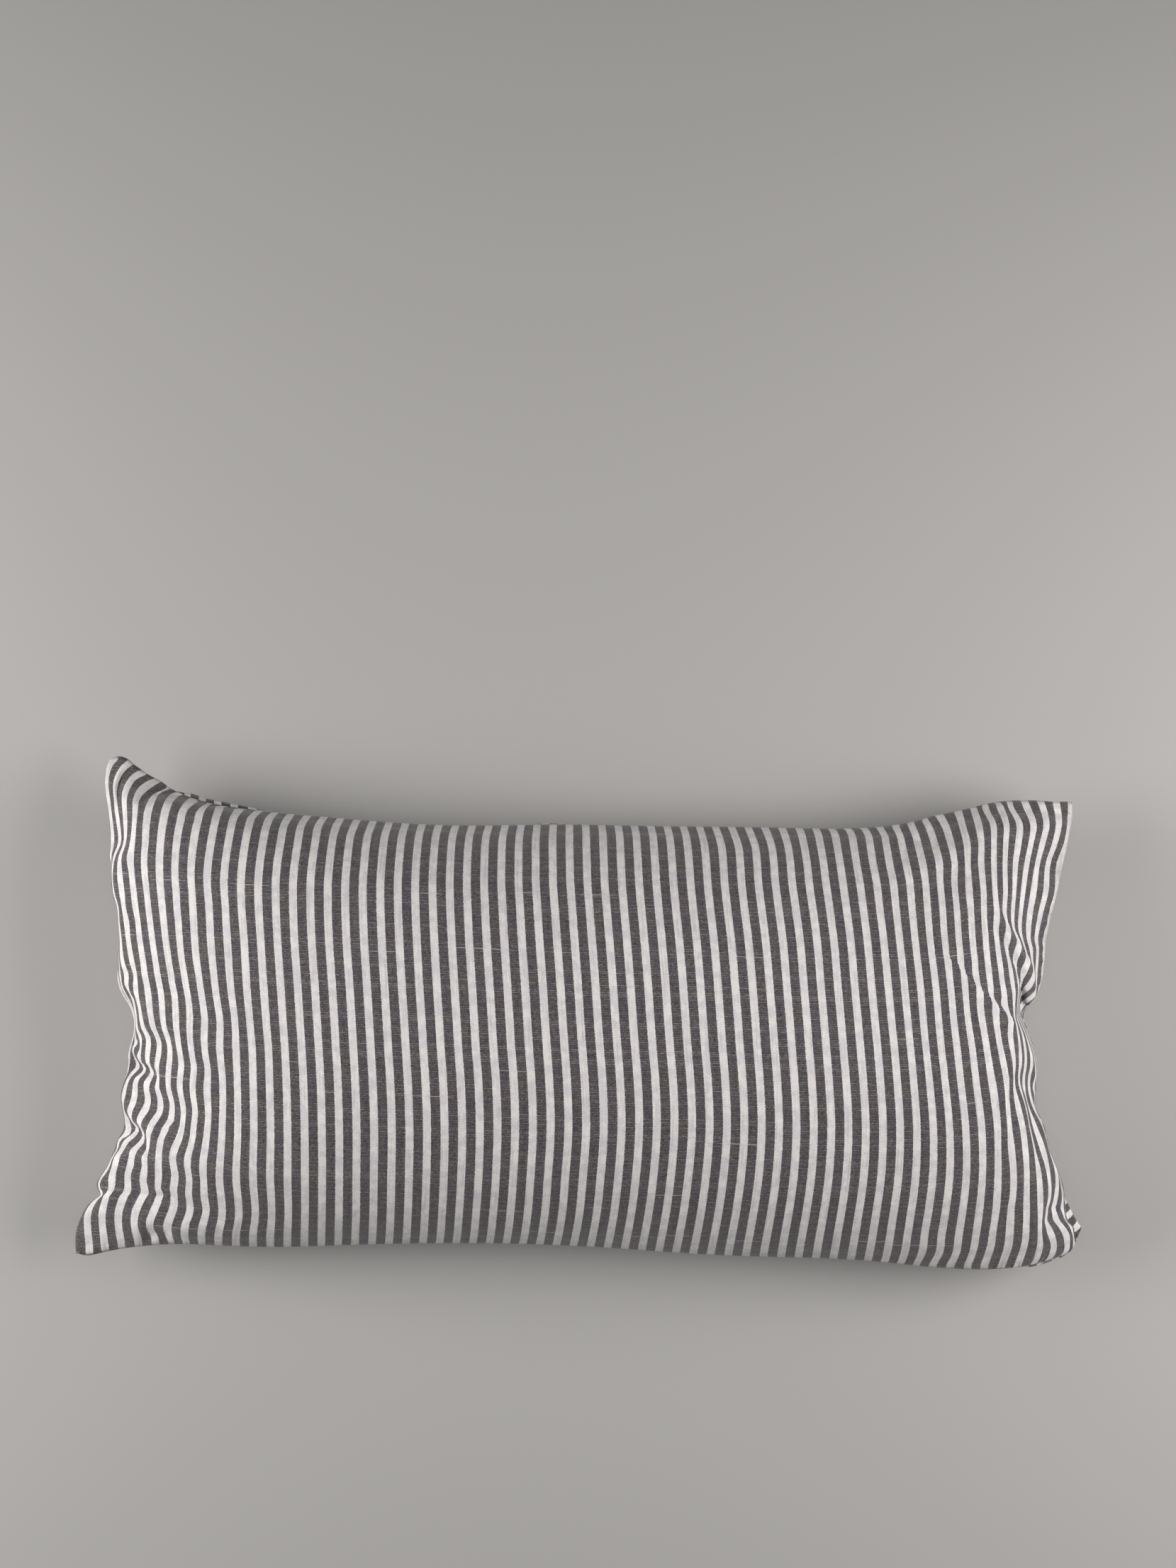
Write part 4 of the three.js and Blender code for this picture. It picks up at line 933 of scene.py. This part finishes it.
    # white stripes: faint ends, soft patches, a fine mottle
    patch = noise(xyz(mul(u, 0.13), mul(v, 0.15), 40.0), 2.0, 0.6)
    pale = mix(ramp(patch, 0.38, 0.62), (0.695, 0.668, 0.688, 1.0), (0.825, 0.802, 0.778, 1.0))
    blush = noise(xyz(mul(u, 0.06), mul(v, 0.055), 44.0), 1.0)
    pale = mix(mul(ramp(blush, 0.52, 0.70), 0.4), pale, (0.805, 0.745, 0.750, 1.0))
    line = ramp(noise(xyz(mul(u, 1.25), mul(v, 0.03), 50.0), 1.0), 0.42, 0.70)
    worn = ramp(noise(xyz(mul(u, 0.08), mul(v, 0.10), 47.0), 1.0), 0.40, 0.62)
    pale = mix(mul(line, math_("MULTIPLY_ADD", worn, 0.34, 0.10)), pale, (0.42, 0.40, 0.42, 1.0))
    mottle = noise(xyz(mul(u, 0.9), mul(v, 1.3), 55.0), 1.0, 0.6)
    pale = mix(mul(ramp(mottle, 0.60, 0.30), 0.20), pale, (0.42, 0.40, 0.41, 1.0))
    rib = mul(ramp(math_("ABSOLUTE", math_("SUBTRACT", row_f, 0.5)), 0.25, 0.5), 0.08)
    pale = mix(mul(rib, add(luck, 0.4)), pale, (0.40, 0.38, 0.385, 1.0))
    col = mix(white, dark, pale)

    # slubs: now and then a thick light weft thread
    slub_row = ramp(dice(add(row_id, 911.5)), 0.955, 0.96)
    slub = mul(slub_row, ramp(noise(xyz(mul(u, 0.022), mul(row_id, 5.31), 60.0), 1.0), 0.60, 0.70))
    slub = mul(slub, profile)
    col = mix(mul(slub, 0.5), col, (0.74, 0.70, 0.69, 1.0))

    # soft painted shade towards the seams, standing in for the shadow of the gathered folds there
    du = math_("MINIMUM", u, math_("SUBTRACT", FLAT_W, u))
    dv = math_("MINIMUM", vv, math_("SUBTRACT", FLAT_H, vv))
    d = math_("MINIMUM", du, dv)
    seams_painted_shade = mul(ramp(d, 16.0, 0.0), noise(xyz(mul(u, 0.07), mul(v, 0.07), 70.0), 3.0, 0.6))
    col = mix(mul(seams_painted_shade, 0.26), col, (0.12, 0.10, 0.09, 1.0))
    # painted shade: a thin dark line along the seam's crease, where front and back panels meet
    crease_painted_shade = ramp(d, 0.9, 0.1)
    col = mix(mul(crease_painted_shade, 0.22), col, (0.03, 0.028, 0.028, 1.0))

    # relief: threads over and under, slubs, soft lumps in the filling, puckers along the seam
    over = mul(math_("SINE", mul(row, math.pi)), math_("SINE", mul(end, math.pi)))
    weave = mul(add(mul(profile, 0.6), mul(math_("ABSOLUTE", over), 0.4)), 0.055)
    weave = add(weave, mul(slub, 0.08))
    lumps = mul(noise(xyz(mul(u, 0.035), mul(v, 0.05), 80.0), 2.0, 0.5), 1.1)
    crimp = mul(noise(xyz(mul(u, 0.20), mul(v, 0.28), 85.0), 2.0, 0.55), 0.20)
    across = mix(math_("LESS_THAN", du, dv), xyz(u, mul(v, 0.10), 90.0), xyz(mul(u, 0.10), v, 90.0))
    n = node("ShaderNodeTexNoise", noise_dimensions="3D")
    put(n.inputs["Vector"], across)
    put(n.inputs["Scale"], 0.28)
    put(n.inputs["Detail"], 1.0)
    pucker = mul(mul(n.outputs["Fac"], ramp(d, 14.0, 1.0)), 1.5)
    height = add(add(weave, lumps), add(crimp, pucker))
    bump = node("ShaderNodeBump")
    put(bump.inputs["Height"], height)
    bump.inputs["Strength"].default_value = 1.0
    bump.inputs["Distance"].default_value = 0.001  # heights are in millimetres
    rough = math_("MULTIPLY_ADD", patch, 0.10, 0.80)
    rough = math_("SUBTRACT", rough, mul(mul(dash, math_("SUBTRACT", 1.0, white)), 0.08))

    bsdf = node("ShaderNodeBsdfPrincipled")
    out = node("ShaderNodeOutputMaterial")
    put(bsdf.inputs["Base Color"], col)
    put(bsdf.inputs["Roughness"], rough)
    put(bsdf.inputs["Normal"], bump.outputs[0])
    bsdf.inputs["Specular IOR Level"].default_value = 0.25
    bsdf.inputs["Sheen Weight"].default_value = 0.2
    bsdf.inputs["Sheen Roughness"].default_value = 0.5
    nt.links.new(bsdf.outputs[0], out.inputs[0])
    return m


me.materials.append(ticking())
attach(cushion, "root")
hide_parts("cushion")

# ---- floor, light, camera --------------------------------------------------------------------
sc = bpy.context.scene
sc.view_settings.view_transform = "Standard"


def flat_material(name, colour, rough):
    m = bpy.data.materials.new(name)
    m.use_nodes = True
    b = m.node_tree.nodes["Principled BSDF"]
    b.inputs["Base Color"].default_value = colour
    b.inputs["Roughness"].default_value = rough
    return m


fm = bpy.data.meshes.new("floor")
F = 6.0
fm.from_pydata([(-F, -F, 0), (F, -F, 0), (F, F, 0), (-F, F, 0)], [], [(0, 1, 2, 3)])
floor = bpy.data.objects.new("floor", fm)
floor.data.materials.append(flat_material("floor_paint", (0.44, 0.43, 0.42, 1), 0.9))
bpy.context.collection.objects.link(floor)

world = bpy.data.worlds.new("studio")
world.use_nodes = True
world.node_tree.nodes["Background"].inputs[0].default_value = (1, 1, 1, 1)
world.node_tree.nodes["Background"].inputs[1].default_value = 0.08
sc.world = world


def lamp(name, loc, aim, size, power, colour=(1, 1, 1)):
    d = bpy.data.lights.new(name, "AREA")
    d.shape = "RECTANGLE"
    d.size, d.size_y = size
    d.energy = power
    d.color = colour
    o = bpy.data.objects.new(name, d)
    o.location = loc
    o.rotation_euler = (Vector(aim) - Vector(loc)).to_track_quat("-Z", "Y").to_euler()
    bpy.context.collection.objects.link(o)
    return o


# name, place, size in metres, watts, colour
LAMPS = [
    ("left", (-1.2, 0.05, 0.7), (0.8, 0.8), 12.2, (1.0, 0.985, 0.965)),
    ("left_low", (-1.3, 0.10, 0.42), (0.5, 0.5), 5.2, (1.0, 0.99, 0.98)),
    ("right", (0.9, 0.05, 0.7), (0.7, 0.7), 9.8, (1.0, 0.985, 0.97)),
    ("over", (0.0, 0.1, 1.9), (0.8, 0.8), 2.4, (0.985, 0.99, 1.0)),
]
for name, loc, size, power, colour in LAMPS:
    lamp(name, loc, (0, 0, 0.08), size, power, colour)

cam_data = bpy.data.cameras.new("camera")
cam_data.sensor_fit = "VERTICAL"
cam_data.sensor_height = 36.0
cam_data.lens = 50.0
cam_data.clip_end = 50.0
cam = bpy.data.objects.new("camera", cam_data)
cam.location = CAM * 0.001
cam.rotation_euler = (TILT, 0, 0)
bpy.context.collection.objects.link(cam)
sc.camera = cam

bpy.context.view_layer.update()
